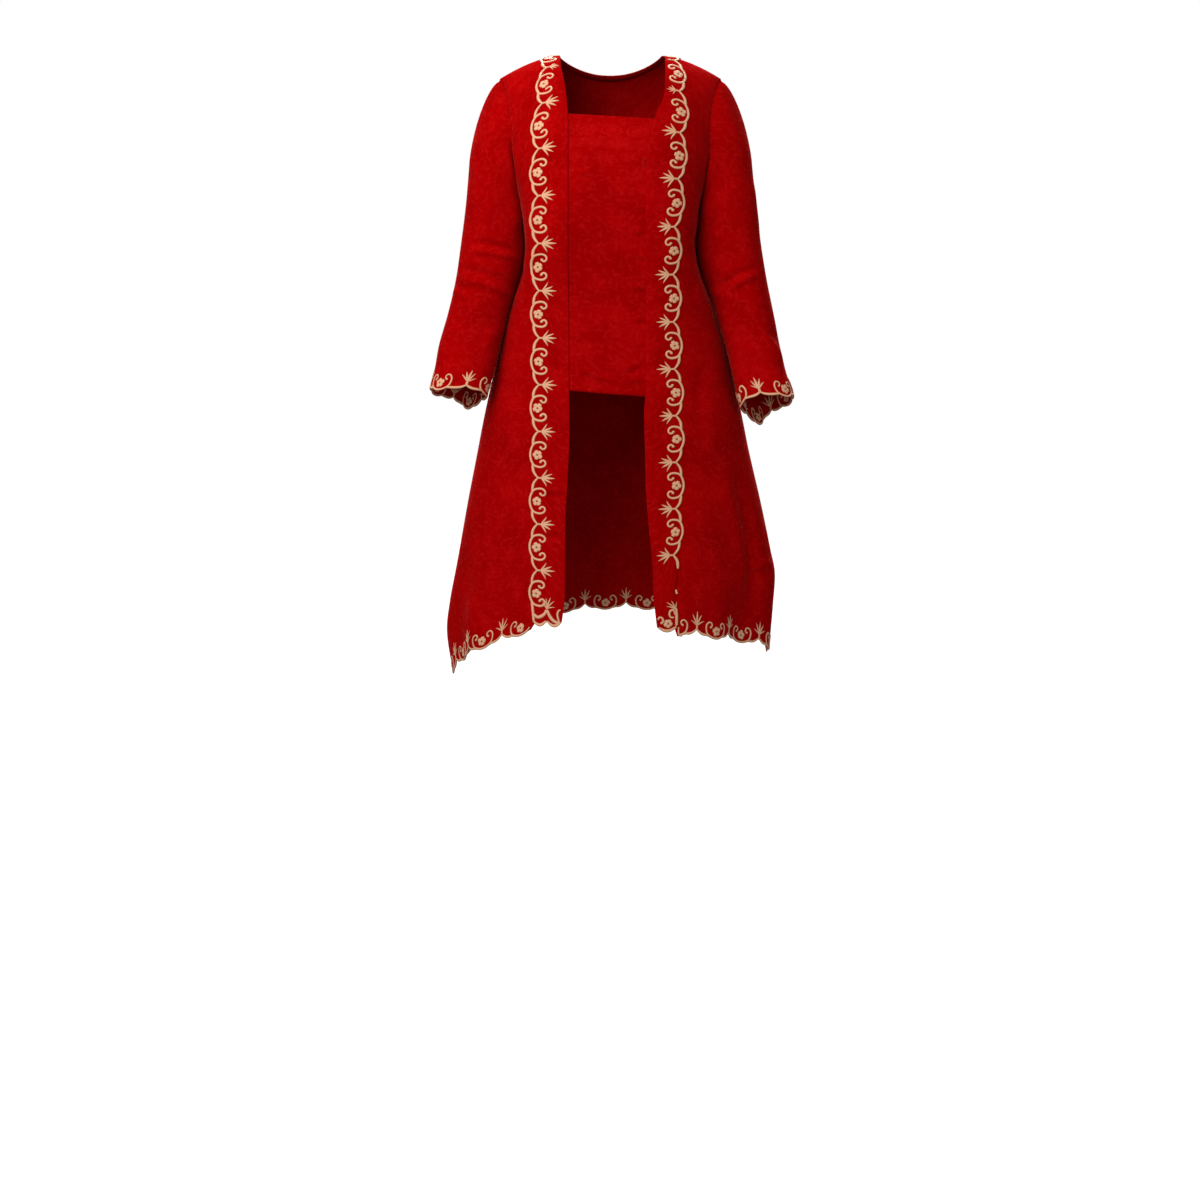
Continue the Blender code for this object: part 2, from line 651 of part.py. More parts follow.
# ---------------------------------------------------------------- sleeves
def armhole_loop(side):
    """Points of the armhole from the underarm, up the front, over the tip and down the back, each
    with the direction that leads off the body cloth into the hole."""
    sign = 1 if side == "left" else -1
    places = [("front", drop) for drop in reversed(ARMHOLE_DROPS)]
    places += [("back", drop) for drop in ARMHOLE_DROPS[1:-1]]
    points, normals = [], []
    for face, drop in places:
        angle = armhole_angle(face, drop)
        if face == "back":
            angle = pi - angle
        points.append(torso(sign * angle, drop))
        normals.append(torso_normal(sign * angle, drop))
    tip = len(ARMHOLE_DROPS) - 1
    normals[tip] = (normals[tip - 1] + normals[tip + 1]).normalized()
    middle = sum(points, Vector()) / len(points)
    loop = []
    count = len(points)
    for k, point in enumerate(points):
        tangent = points[(k + 1) % count] - points[k - 1]
        lead = normals[k].cross(tangent).normalized()
        if lead.dot(middle - point) < 0:
            lead.negate()
        loop.append((point, lead))
    return loop


def loop_turns(loop):
    """Where each armhole point comes round the sleeve: 0 underarm, a half at the shoulder tip."""
    points = [point for point, _ in loop]
    half = len(ARMHOLE_DROPS) - 1
    turns = []
    for start, stop, base in ((0, half, 0.0), (half, len(points), 0.5)):
        part = points[start:stop + 1] if stop < len(points) else points[start:] + [points[0]]
        lengths = [0.0]
        for a, b in zip(part, part[1:]):
            lengths.append(lengths[-1] + (b - a).length)
        turns += [base + 0.5 * length / lengths[-1] for length in lengths[:-1]]
    return turns


def sleeve_ring(side, ring, turn):
    """A point of a sleeve's ring; turn 0 is its inner edge, a quarter the front, a half the outer."""
    sign = 1 if side == "left" else -1
    table = SLEEVES[side]
    value = {name: table.read(name, ring) for name in table.names[1:]}
    curve = 2 / SLEEVE_SQUARE
    inner = power(cos(2 * pi * turn), curve)
    front = power(sin(2 * pi * turn), curve)
    out = (1 - inner) / 2
    x = value["inner_x"] + (value["outer_x"] - value["inner_x"]) * out - value["lean"] * front * max(inner, 0)
    z = value["inner_z"] + (value["outer_z"] - value["inner_z"]) * out
    rise = value["front_rise"] * front * (1 + INNER_RISE * inner)
    return Vector((sign * x, value["mid_y"] - value["half_depth"] * front, z + rise))


def cap_point(side, start, turn, t):
    """A point of the sleeve's cap: it leaves its start at the armhole sideways and comes round to run
    down at the sleeve's first ring."""
    end = sleeve_ring(side, 0, turn)
    out = sin(pi / 2 * t) ** (2 / CAP_ROUND)
    fall = 1 - cos(pi / 2 * t) ** (2 / CAP_ROUND)
    low = ease((-start.z - UNDERARM_DROP / 2) / (UNDERARM_DROP / 2))
    fold = copysign(UNDERARM_FOLD * low * sin(pi * t), start.x)
    return Vector((start.x + (end.x - start.x) * out + fold,
                   start.y + (end.y - start.y) * t,
                   start.z + (end.z - start.z) * fall))


def make_sleeve(side):
    loop = armhole_loop(side)
    turns = loop_turns(loop)
    last = SLEEVES[side].rows[-1][0]
    rows = [[point + lead * SLEEVE_GAP for point, lead in loop]]
    rows += [[cap_point(side, point + lead * SLEEVE_LIP, turn, t) for (point, lead), turn in zip(loop, turns)]
             for t in CAP_STEPS]
    for ring in range(last + 1):
        rows.append([sleeve_ring(side, ring, turn) for turn in turns])
    edge_count = len(turns) * HEM_SPLIT
    fine_turns = []
    for k, turn in enumerate(turns):
        after = turns[k + 1] if k + 1 < len(turns) else 1.0
        fine_turns += [turn + (after - turn) * m / HEM_SPLIT for m in range(HEM_SPLIT)]
    run = (sleeve_ring(side, last, 0.25) - sleeve_ring(side, last - 0.5, 0.25)).normalized()
    start_ring = rows[-1]
    around = sum((b - a).length for a, b in zip(start_ring, start_ring[1:] + start_ring[:1]))
    stretch = REPEAT * CUFF_REPEATS / around
    lengths = [turn * around * stretch for turn in fine_turns]
    phase = CUFF_PHASE[side] * REPEAT
    fine = [sleeve_ring(side, last, turn) + run * CUFF_STRIP for turn in fine_turns]
    edge = [point + run * (CUFF_STRIP + scallop(along - phase)) for point, along in zip(fine, lengths)]

    points, faces = [], []
    starts = []
    for row in rows + [fine, edge]:
        starts.append(len(points))
        points.extend(row)
    count = len(turns)
    for k in range(len(rows) - 1):
        for m in range(count):
            n = (m + 1) % count
            faces.append([starts[k] + m, starts[k] + n, starts[k + 1] + n, starts[k + 1] + m])
    a, b, c = starts[-3], starts[-2], starts[-1]
    for m in range(count):
        lower = [b + (m * HEM_SPLIT + j) % edge_count for j in range(HEM_SPLIT, -1, -1)]
        faces.append([a + m, a + (m + 1) % count] + lower)
    for m in range(edge_count):
        n = (m + 1) % edge_count
        faces.append([b + m, b + n, c + n, c + m])

    def from_arm(centre):
        ring = min(range(last + 1), key=lambda k: abs(sleeve_ring(side, k, 0.25).z - centre.z))
        middle = (sleeve_ring(side, ring, 0) + sleeve_ring(side, ring, 0.5)) / 2
        return Vector((centre.x - middle.x, centre.y - middle.y, 0))

    wall("sleeve_" + side, points, faces, from_arm, red, -1)


# ---------------------------------------------------------------- fastening loop
def make_fastening_loop():
    """A small thread loop on the centre panel, beside the left front's opening edge."""
    edge_x = OPENING.read("left", LOOP_DROP) - SEAM - 2 * LOOP_WIRE - LAYER_GAP
    curve = bpy.data.curves.new("fastening_loop", "CURVE")
    curve.dimensions = "3D"
    curve.bevel_depth = LOOP_WIRE
    curve.bevel_resolution = 2
    curve.use_fill_caps = True
    spline = curve.splines.new("POLY")
    spline.points.add(LOOP_STEPS)
    for k in range(LOOP_STEPS + 1):
        turn = pi * k / LOOP_STEPS
        x = edge_x - LOOP_REACH * sin(turn)
        drop = LOOP_DROP + LOOP_LENGTH * (1 - cos(turn)) / 2
        angle = angle_at(x, drop)
        lift = CLOTH + LAYER_GAP - (SEAM + LOOP_WIRE)
        point = torso(angle, drop) - torso_normal(angle, drop) * lift
        spline.points[k].co = (point.x, point.y, point.z, 1)
    curve.materials.append(thread)
    collection.objects.link(bpy.data.objects.new("fastening_loop", curve))


def make_material(name, colour, roughness, sheen):
    material = bpy.data.materials.new(name)
    material.use_nodes = True
    shader = material.node_tree.nodes["Principled BSDF"]
    shader.inputs["Base Color"].default_value = colour
    shader.inputs["Roughness"].default_value = roughness
    shader.inputs["Metallic"].default_value = 0.0
    shader.inputs["Sheen Weight"].default_value = sheen
    return material


for old in list(bpy.data.objects):
    bpy.data.objects.remove(old, do_unlink=True)

collection = bpy.data.collections.new("kebaya_blouse")
bpy.context.scene.collection.children.link(collection)
red = make_material("red_jacquard", RED, 0.5, 0.3)
thread = make_material("red_thread", THREAD_RED, 0.6, 0.2)

fronts = {side: make_front(side) for side in ("right", "left")}
make_back()
for side in ("right", "left"):
    make_band(side, fronts[side])
    make_sleeve(side)
make_neck_band()
make_centre_panel(fronts)
make_fastening_loop()
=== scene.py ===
"""Long kutubaru kebaya blouse: red silk jacquard with scalloped edges worked in gold satin stitch.

Metres, +Z up, the front towards -Y and +X the wearer's left. The origin is the middle of the neck at
the height of the shoulder line. A point of the body cloth is read at an angle round the body and at a
drop below the shoulder line; a point of a sleeve at a ring and a turn round it.
"""
from math import copysign, cos, pi, radians, sin, sqrt

import bpy
import numpy as np
from bpy.props import FloatProperty, FloatVectorProperty, PointerProperty
from bpy.types import Operator, Panel, PropertyGroup
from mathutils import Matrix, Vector


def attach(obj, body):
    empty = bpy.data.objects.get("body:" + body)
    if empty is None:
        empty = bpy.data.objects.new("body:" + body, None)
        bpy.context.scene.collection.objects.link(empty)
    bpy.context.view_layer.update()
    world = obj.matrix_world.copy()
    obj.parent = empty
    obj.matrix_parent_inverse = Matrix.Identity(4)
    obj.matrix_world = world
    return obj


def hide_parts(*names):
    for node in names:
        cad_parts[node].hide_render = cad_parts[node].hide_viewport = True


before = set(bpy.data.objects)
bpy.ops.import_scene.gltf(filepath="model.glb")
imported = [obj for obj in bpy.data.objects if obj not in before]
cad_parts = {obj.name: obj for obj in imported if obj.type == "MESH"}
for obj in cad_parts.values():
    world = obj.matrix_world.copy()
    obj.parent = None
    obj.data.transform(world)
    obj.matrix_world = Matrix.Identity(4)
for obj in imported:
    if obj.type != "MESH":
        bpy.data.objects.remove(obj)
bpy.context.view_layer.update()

bl_info = {
    "name": "Kebaya Blouse",
    "version": (1, 0, 0),
    "blender": (4, 5, 0),
    "location": "View3D > Sidebar > Kebaya",
    "description": "Dresses a long kutubaru kebaya blouse in silk jacquard and gold embroidery",
    "category": "Object",
}

BODY = "root"

# ---------------------------------------------------------------- the garment's sizes
CLOTH = 0.0015              # room for one layer of cloth
SEAM = 0.0003
LAYER_GAP = 0.0009
NECK_SIDE = 0.071
SHOULDER_TIP = 0.155
SHOULDER_FALL = 0.031
SHOULDER_BEND = 1.6         # how the shoulder's fall steepens outward
LEVEL_DROP = 0.30           # the drop from which rows lie level
ROLL_FRONT = 0.13           # the drop over which the cloth rolls over the shoulder
ROLL_BACK = 0.11
UNDERARM_DROP = 0.20
ARMHOLE_CUT = {"front": radians(30), "back": radians(27)}
ARMHOLE_HIGH = 0.65
ARMHOLE_ROUND = 0.75
NECK_BACK_DEPTH = 0.058
NECK_BAND_WIDTH = 0.033
NECK_BAND_LOBES = 4
REPEAT = 0.0643             # one scallop, cusp to cusp
STEM_BULGE = 0.0082
STEM_RUN = 0.014
STEM_ROUND = 2.1
SCROLL_BULGE = 0.0120
SCROLL_RADIUS = 0.026
SCROLL_HALF = 0.0147
HEM_UNDER_BAND = {"right": 0.7725, "left": 0.7795}
FAN_START = 0.50            # the drop from which rows lean towards the line of the hem
FIRST_CUSP = {"right": 0.050, "left": 0.029, "back": 0.030}
BAND_CUSP_HEIGHT = {"right": -0.1285, "left": -0.1704}
BAND_BOTTOM = {"right": 0.7720, "left": 0.7790}
BAND_BOTTOM_LOBES = {"right": 2, "left": 1}
BAND_BOTTOM_BULGE = 0.008
TURNED_UNDER = {"right": None, "left": (-0.695, -0.745)}
TURNED_FADE = 0.02
TURNED_DEPTH = 0.004
FOOT = {"right": (-0.742, 0.003), "left": None}
FOOT_FADE = 0.008           # height over which the right band's edge leaves its lobes
FLUTE_FULL_DROP = 0.82
PANEL_TOP = {"right": 0.0840, "left": 0.0920}
PANEL_BOTTOM = {"right": 0.4550, "left": 0.4650}
PANEL_UNDERLAP = 0.011
PANEL_LENGTH = 0.37         # about, for its rows and its hems
INNER_RISE = 0.4
SLEEVE_SQUARE = 2.3
SLEEVE_LIP = 0.004          # how far a cap runs into the armhole before it falls
CAP_ROUND = 1.45
UNDERARM_FOLD = 0.005
CUFF_STRIP = 0.0070         # plain cloth between the last ring and the lobes
CUFF_REPEATS = 4
CUFF_PHASE = 0.86           # first cusp, in repeats from the inner edge
CUFF_SAG = 0.0015            # how much lower a cuff hangs in front
CUFF_FILL = 0.0035           # and at its cusps in front and behind
LAST_RING = 7
LOOP_DROP = 0.1445
LOOP_LENGTH = 0.0110
LOOP_REACH = 0.0034
LOOP_WIRE = 0.0006

# ---------------------------------------------------------------- how the silk is laid up
BAND_LIFT = 0.0010          # the band's face above the front's
BAND_UNDER = 0.0015         # the band's turned-in edge below it
FOLD_TOP = 0.0003           # the band's face at the fold
FOLD_ROUND = 0.0013         # radius of the fold at an opening edge
FACE_RUN = 0.012            # how far out from the fold a band's face has risen to its full height
BAND_WALL = 0.6             # a band's and the panel's wall, as a share of the body cloth's
HEM_PULL = 0.03             # the last rows above a hem, drawn down to its lobes
FLUSH_RUN = 0.008           # how far in from its cut edge a turned-under band lies flush
EDGE_COLUMNS = 16           # columns of cloth to one scallop
SEEDS = {"front_right": 11, "front_left": 12, "back": 13, "band_right": 21, "band_left": 22,
         "neck_band": 23, "foot": 25, "cuff_right": 31, "cuff_left": 32}   # one for each edge's stitches
NORMAL_STEP = 0.002


class Table:
    """A short table of named columns, read on a smooth curve through its rows."""

    def __init__(self, names, *rows):
        self.names = names.split()
        self.rows = rows
        self.columns = {name: np.array([row[k] for row in rows], float)
                        for k, name in enumerate(self.names)}

    def read(self, name, at):
        keys, values = self.columns[self.names[0]], self.columns[name]
        slopes = np.array([(values[min(k + 1, len(keys) - 1)] - values[max(k - 1, 0)])
                           / (keys[min(k + 1, len(keys) - 1)] - keys[max(k - 1, 0)])
                           for k in range(len(keys))])
        at = np.clip(at, keys[0], keys[-1])
        i = np.clip(np.searchsorted(keys, at) - 1, 0, len(keys) - 2)
        span = keys[i + 1] - keys[i]
        t = (at - keys[i]) / span
        return (values[i] * (2 * t ** 3 - 3 * t ** 2 + 1) + slopes[i] * span * (t ** 3 - 2 * t ** 2 + t)
                + values[i + 1] * (3 * t ** 2 - 2 * t ** 3) + slopes[i + 1] * span * (t ** 3 - t ** 2))


# half width on each side, depth in front and behind, and how square the ring is
TORSO = Table("drop right left front back square",
              (0.000, 0.155, 0.155, 0.112, 0.098, 2.0),
              (0.050, 0.157, 0.157, 0.114, 0.100, 2.2),
              (0.100, 0.149, 0.149, 0.118, 0.104, 2.5),
              (0.150, 0.137, 0.137, 0.124, 0.108, 3.0),
              (0.200, 0.126, 0.125, 0.128, 0.106, 3.7),
              (0.240, 0.1205, 0.1195, 0.127, 0.101, 4.2),
              (0.270, 0.1200, 0.1195, 0.124, 0.097, 4.2),
              (0.300, 0.124, 0.126, 0.121, 0.094, 3.8),
              (0.336, 0.137, 0.142, 0.118, 0.093, 3.2),
              (0.364, 0.147, 0.152, 0.118, 0.094, 2.8),
              (0.402, 0.158, 0.166, 0.119, 0.097, 2.5),
              (0.450, 0.170, 0.179, 0.122, 0.103, 2.3),
              (0.507, 0.183, 0.192, 0.128, 0.113, 2.2),
              (0.551, 0.192, 0.2015, 0.134, 0.121, 2.1),
              (0.624, 0.207, 0.2195, 0.144, 0.134, 2.0),
              (0.698, 0.221, 0.236, 0.155, 0.146, 2.0),
              (0.728, 0.227, 0.242, 0.159, 0.150, 2.0),
              (0.773, 0.236, 0.2395, 0.165, 0.156, 2.0),
              (0.818, 0.241, 0.236, 0.170, 0.160, 2.0),
              (0.880, 0.233, 0.232, 0.174, 0.164, 2.0))

# opening edge of each front and the width of its band, lobes included
OPENING = Table("drop right left right_band left_band",
                (0.000, 0.0697, 0.0753, 0.0270, 0.0230),
                (0.020, 0.0675, 0.0750, 0.0330, 0.0280),
                (0.045, 0.0621, 0.0740, 0.0405, 0.0310),
                (0.063, 0.0597, 0.0715, 0.0450, 0.0350),
                (0.090, 0.0577, 0.0600, 0.0505, 0.0465),
                (0.140, 0.0575, 0.0500, 0.0525, 0.0540),
                (0.160, 0.0575, 0.0475, 0.0530, 0.0560),
                (0.266, 0.0579, 0.0480, 0.0528, 0.0495),
                (0.410, 0.0573, 0.0487, 0.0537, 0.0515),
                (0.455, 0.0572, 0.0489, 0.0545, 0.0530),
                (0.482, 0.0566, 0.0465, 0.0557, 0.0565),
                (0.517, 0.0565, 0.0470, 0.0562, 0.0562),
                (0.545, 0.0577, 0.0480, 0.0553, 0.0552),
                (0.592, 0.0602, 0.0490, 0.0533, 0.0542),
                (0.634, 0.0625, 0.0525, 0.0517, 0.0502),
                (0.700, 0.0628, 0.0588, 0.0519, 0.0400),
                (0.740, 0.0635, 0.0600, 0.0519, 0.0345),
                (0.780, 0.0688, 0.0648, 0.0432, 0.0290))

FRONT_HEM = Table("across right left",
                  (0.00, 0.779, 0.783),
                  (0.20, 0.799, 0.791),
                  (0.45, 0.822, 0.804),
                  (0.70, 0.846, 0.820),
                  (0.88, 0.867, 0.834),
                  (1.00, 0.871, 0.840))
BACK_HEM = Table("across drop",
                 (0.00, 0.871),
                 (0.10, 0.860),
                 (0.25, 0.834),
                 (0.50, 0.806),
                 (0.78, 0.820),
                 (1.00, 0.840))

# soft flutes that open towards the hem: where they lie round the body, half width, push out, start
FLUTES = Table("angle width push start",
               (-150, 12, 0.009, 0.52),
               (-128, 11, -0.010, 0.50),
               (-68, 9, -0.007, 0.60),
               (-52, 8, 0.005, 0.58),
               (-36, 8, -0.005, 0.62),
               (55, 9, -0.017, 0.56),
               (73, 8, 0.005, 0.58),
               (124, 11, -0.010, 0.50),
               (148, 12, 0.009, 0.50),
               (176, 12, -0.009, 0.54))
# soft folds of the back beside the sleeves, and the drops between which they rise and fade
BACK_FOLDS = Table("angle width push start full fade end",
                   (-104, 6, 0.013, 0.155, 0.205, 0.38, 0.50),
                   (104, 6, 0.013, 0.155, 0.205, 0.38, 0.50))

SLEEVES = {
    "right": Table("ring outer_x outer_z inner_x inner_z mid_y half_depth front_rise lean",
                   (0, 0.1982, -0.1480, 0.1240, -0.2360, -0.006, 0.060, 0.0000, 0.008),
                   (1, 0.2040, -0.2060, 0.1225, -0.2640, -0.008, 0.058, 0.0020, 0.010),
                   (2, 0.2115, -0.2600, 0.1245, -0.2880, -0.010, 0.056, 0.0040, 0.008),
                   (3, 0.2190, -0.3080, 0.1332, -0.3230, -0.015, 0.053, 0.0060, 0.006),
                   (4, 0.2298, -0.3540, 0.1462, -0.3600, -0.024, 0.050, 0.0080, 0.011),
                   (5, 0.2422, -0.3970, 0.1585, -0.4040, -0.034, 0.047, 0.0110, 0.015),
                   (6, 0.2475, -0.4270, 0.1680, -0.4395, -0.042, 0.045, 0.0135, 0.018),
                   (7, 0.2515, -0.4455, 0.1745, -0.4610, -0.048, 0.043, 0.0145, 0.020)),
    "left": Table("ring outer_x outer_z inner_x inner_z mid_y half_depth front_rise lean",
                  (0, 0.1990, -0.1480, 0.1230, -0.2360, -0.006, 0.060, 0.0000, 0.008),
                  (1, 0.2056, -0.2060, 0.1220, -0.2640, -0.008, 0.058, 0.0020, 0.010),
                  (2, 0.2135, -0.2600, 0.1255, -0.2880, -0.010, 0.056, 0.0050, 0.008),
                  (3, 0.2218, -0.3080, 0.1368, -0.3230, -0.015, 0.053, 0.0070, 0.006),
                  (4, 0.2312, -0.3540, 0.1514, -0.3600, -0.024, 0.050, 0.0100, 0.011),
                  (5, 0.2405, -0.4000, 0.1665, -0.4060, -0.034, 0.047, 0.0140, 0.016),
                  (6, 0.2485, -0.4360, 0.1775, -0.4470, -0.042, 0.045, 0.0175, 0.020),
                  (7, 0.2560, -0.4570, 0.1850, -0.4790, -0.048, 0.044, 0.0200, 0.023)),
}

# creases: from and to (seen from the front, x and z in metres), how deep, how wide, and how high the
# soft ridge beside it stands as a share of the depth (on the upper or outer side if above 0)
CREASES = {
    "front": Table("x0 z0 x1 z1 depth width ridge",
                   (-0.094, -0.602, -0.060, -0.602, 0.0014, 0.0040, 0.8),
                   (-0.094, -0.660, -0.060, -0.656, 0.0016, 0.0050, 0.8),
                   (-0.130, -0.722, -0.123, -0.762, 0.0016, 0.0045, -0.7),
                   (-0.191, -0.752, -0.192, -0.825, -0.0030, 0.0140, 0.0),
                   (0.175, -0.570, 0.197, -0.800, 0.0065, 0.0100, -0.8),
                   (0.200, -0.724, 0.238, -0.722, 0.0030, 0.0060, 0.8),
                   (-0.118, -0.300, -0.080, -0.268, 0.0014, 0.0060, 0.7),
                   (-0.124, -0.352, -0.092, -0.300, 0.0018, 0.0070, 0.6),
                   (0.118, -0.330, 0.090, -0.282, 0.0018, 0.0070, 0.6),
                   (0.122, -0.262, 0.098, -0.232, 0.0012, 0.0060, 0.6),
                   (-0.130, -0.440, -0.120, -0.560, 0.0016, 0.0100, 0.4),
                   (0.132, -0.420, 0.128, -0.540, 0.0018, 0.0110, -0.4)),
    "panel": Table("x0 z0 x1 z1 depth width ridge",
                   (-0.046, -0.168, -0.028, -0.171, 0.0014, 0.0030, 0.9),
                   (-0.040, -0.434, -0.022, -0.444, 0.0020, 0.0038, 0.9),
                   (-0.022, -0.444, 0.010, -0.452, 0.0016, 0.0040, 0.9),
                   (0.046, -0.425, 0.020, -0.436, 0.0018, 0.0048, 0.7),
                   (0.046, -0.447, 0.026, -0.450, 0.0015, 0.0038, 0.7),
                   (0.047, -0.196, 0.038, -0.193, 0.0013, 0.0030, 0.9),
                   (0.047, -0.219, 0.034, -0.214, 0.0019, 0.0034, 0.9),
                   (0.047, -0.248, 0.030, -0.247, 0.0016, 0.0038, 0.8),
                   (0.047, -0.283, 0.036, -0.277, 0.0019, 0.0034, 0.9),
                   (0.047, -0.325, 0.028, -0.321, 0.0017, 0.0038, 0.8),
                   (0.047, -0.363, 0.034, -0.367, 0.0018, 0.0034, 0.9),
                   (0.047, -0.398, 0.036, -0.400, 0.0013, 0.0034, 0.8),
                   (-0.050, -0.255, 0.045, -0.262, 0.0012, 0.0120, 0.5),
                   (-0.050, -0.350, 0.030, -0.344, 0.0013, 0.0140, 0.5)),
    "back": Table("x0 z0 x1 z1 depth width ridge",
                  (-0.110, -0.258, -0.028, -0.286, 0.0030, 0.0090, 0.7),
                  (0.108, -0.270, 0.016, -0.296, 0.0034, 0.0100, 0.7),
                  (-0.092, -0.312, 0.012, -0.326, 0.0026, 0.0090, 0.6),
                  (0.112, -0.322, 0.040, -0.338, 0.0024, 0.0080, 0.6),
                  (-0.126, -0.168, -0.086, -0.238, 0.0022, 0.0090, 0.6),
                  (0.124, -0.160, 0.088, -0.226, 0.0020, 0.0080, 0.6),
                  (-0.060, -0.400, -0.078, -0.640, 0.0030, 0.0160, 0.5),
                  (0.072, -0.420, 0.100, -0.610, 0.0030, 0.0150, -0.5),
                  (0.010, -0.120, 0.004, -0.215, 0.0012, 0.0120, 0.5)),
    "sleeve_right_front": Table("x0 z0 x1 z1 depth width ridge",
                                (-0.197, -0.266, -0.126, -0.280, 0.0044, 0.0048, 0.9),
                                (-0.213, -0.303, -0.134, -0.330, 0.0050, 0.0062, 0.9),
                                (-0.224, -0.322, -0.190, -0.334, 0.0022, 0.0042, 0.8),
                                (-0.141, -0.118, -0.131, -0.246, 0.0100, 0.0115, 0.5),
                                (-0.172, -0.150, -0.166, -0.235, 0.0030, 0.0130, -0.6),
                                (-0.226, -0.372, -0.190, -0.392, 0.0016, 0.0070, 0.6),
                                (-0.150, -0.368, -0.176, -0.404, 0.0018, 0.0080, 0.6)),
    "sleeve_right_back": Table("x0 z0 x1 z1 depth width ridge",
                               (-0.200, -0.262, -0.136, -0.288, 0.0036, 0.0075, 0.7),
                               (-0.212, -0.306, -0.142, -0.330, 0.0044, 0.0080, 0.7),
                               (-0.222, -0.352, -0.168, -0.350, 0.0026, 0.0070, 0.6),
                               (-0.150, -0.186, -0.130, -0.250, 0.0020, 0.0080, 0.6)),
    "sleeve_left_front": Table("x0 z0 x1 z1 depth width ridge",
                               (0.158, -0.324, 0.212, -0.296, 0.0042, 0.0050, 0.9),
                               (0.212, -0.380, 0.242, -0.420, 0.0036, 0.0060, 0.8),
                               (0.140, -0.130, 0.133, -0.236, 0.0085, 0.0110, 0.5),
                               (0.196, -0.170, 0.200, -0.260, 0.0030, 0.0140, 0.6),
                               (0.140, -0.240, 0.176, -0.268, 0.0022, 0.0070, 0.7),
                               (0.140, -0.322, 0.188, -0.344, 0.0026, 0.0070, 0.7),
                               (0.168, -0.398, 0.206, -0.412, 0.0014, 0.0070, 0.6)),
    "sleeve_left_back": Table("x0 z0 x1 z1 depth width ridge",
                              (0.134, -0.296, 0.200, -0.272, 0.0038, 0.0075, 0.7),
                              (0.148, -0.342, 0.214, -0.318, 0.0040, 0.0080, 0.7),
                              (0.166, -0.372, 0.226, -0.362, 0.0024, 0.0070, 0.6),
                              (0.132, -0.236, 0.152, -0.180, 0.0020, 0.0080, 0.6)),
}


# ---------------------------------------------------------------- curves
def ease(t):
    t = np.clip(t, 0.0, 1.0)
    return t * t * (3 - 2 * t)


def power(value, exponent):
    return np.sign(value) * np.abs(value) ** exponent


def unit(vectors):
    return vectors / np.maximum(np.linalg.norm(vectors, axis=-1, keepdims=True), 1e-12)


def lengths_along(points):
    """Length from the start of a row of points to each of them."""
    return np.concatenate(([0.0], np.cumsum(np.linalg.norm(np.diff(points, axis=0), axis=-1))))


def scallop(along):
    """How far a cut edge stands past its cusps, at a length along it from a cusp."""
    from_cusp = REPEAT * np.abs((along / REPEAT + 0.5) % 1 - 0.5)
    from_middle = REPEAT / 2 - from_cusp
    lobe = SCROLL_BULGE - SCROLL_RADIUS + np.sqrt(SCROLL_RADIUS ** 2
                                                  - np.minimum(from_middle, SCROLL_HALF) ** 2)
    stem = STEM_BULGE * (1 - np.maximum(1 - from_cusp / STEM_RUN, 0) ** STEM_ROUND)
    return np.where(from_middle < SCROLL_HALF, lobe, stem)


def crease_push(name, x, z):
    """How far the creases of one face push its cloth in or out."""
    push = np.zeros_like(x)
    for x0, z0, x1, z1, depth, width, ridge in CREASES[name].rows:
        dx, dz = x1 - x0, z1 - z0
        length = sqrt(dx * dx + dz * dz)
        t = ((x - x0) * dx + (z - z0) * dz) / length ** 2
        bow = 0.06 * length * np.sin(pi * np.clip(t, 0, 1))
        away = ((x - x0) * dz - (z - z0) * dx) / length * (-1 if dx < 0 else 1) + bow
        fade = ease(t / 0.3 + 0.25) * ease((1 - t) / 0.45 + 0.15)
        fade = np.where((t < -0.1) | (t > 1.1), 0.0, fade)
        trough = np.exp(-(away / width) ** 2)
        beside = np.exp(-((away + copysign(1, ridge) * 1.7 * width) / (1.2 * width)) ** 2)
        push += fade * depth * (abs(ridge) * beside - trough)
    return push


# ---------------------------------------------------------------- the body cloth's form
def flute_push(angle, drop):
    push = np.zeros_like(angle)
    for centre, width, depth, start in FLUTES.rows:
        push += swell(angle, centre, width, depth) * ease((drop - start) / (FLUTE_FULL_DROP - start))
    for centre, width, depth, start, full, fade, end in BACK_FOLDS.rows:
        push += swell(angle, centre, width, depth) * ease((drop - start) / (full - start)) \
            * ease((end - drop) / (end - fade))
    return push


def swell(angle, centre, width, depth):
    away = np.abs((angle - radians(centre) + pi) % (2 * pi) - pi) / radians(2 * width)
    return depth * (0.5 + 0.5 * np.cos(pi * np.minimum(away, 1)))


def torso(angle, drop):
    """Points of the body cloth's outer face."""
    angle, drop = np.broadcast_arrays(np.asarray(angle, float), np.asarray(drop, float))
    s, c = np.sin(angle), np.cos(angle)
    curve = 2 / TORSO.read("square", drop)
    half = np.where(s >= 0, TORSO.read("left", drop), TORSO.read("right", drop))
    roll = np.where(c >= 0, ROLL_FRONT, ROLL_BACK)
    depth = np.where(c >= 0, TORSO.read("front", drop), TORSO.read("back", drop))
    depth = depth * np.sqrt(np.maximum(1 - (1 - np.minimum(drop / roll, 1)) ** 2, 0))
    x, y = power(s, curve) * half, -power(c, curve) * depth
    past_neck = np.maximum(np.abs(x) - NECK_SIDE, 0) / (SHOULDER_TIP - NECK_SIDE)
    z = -SHOULDER_FALL * past_neck ** SHOULDER_BEND * (1 - ease(drop / LEVEL_DROP)) - drop
    push = flute_push(angle, drop)
    return np.stack((x + s * push, y - c * push, z), -1)


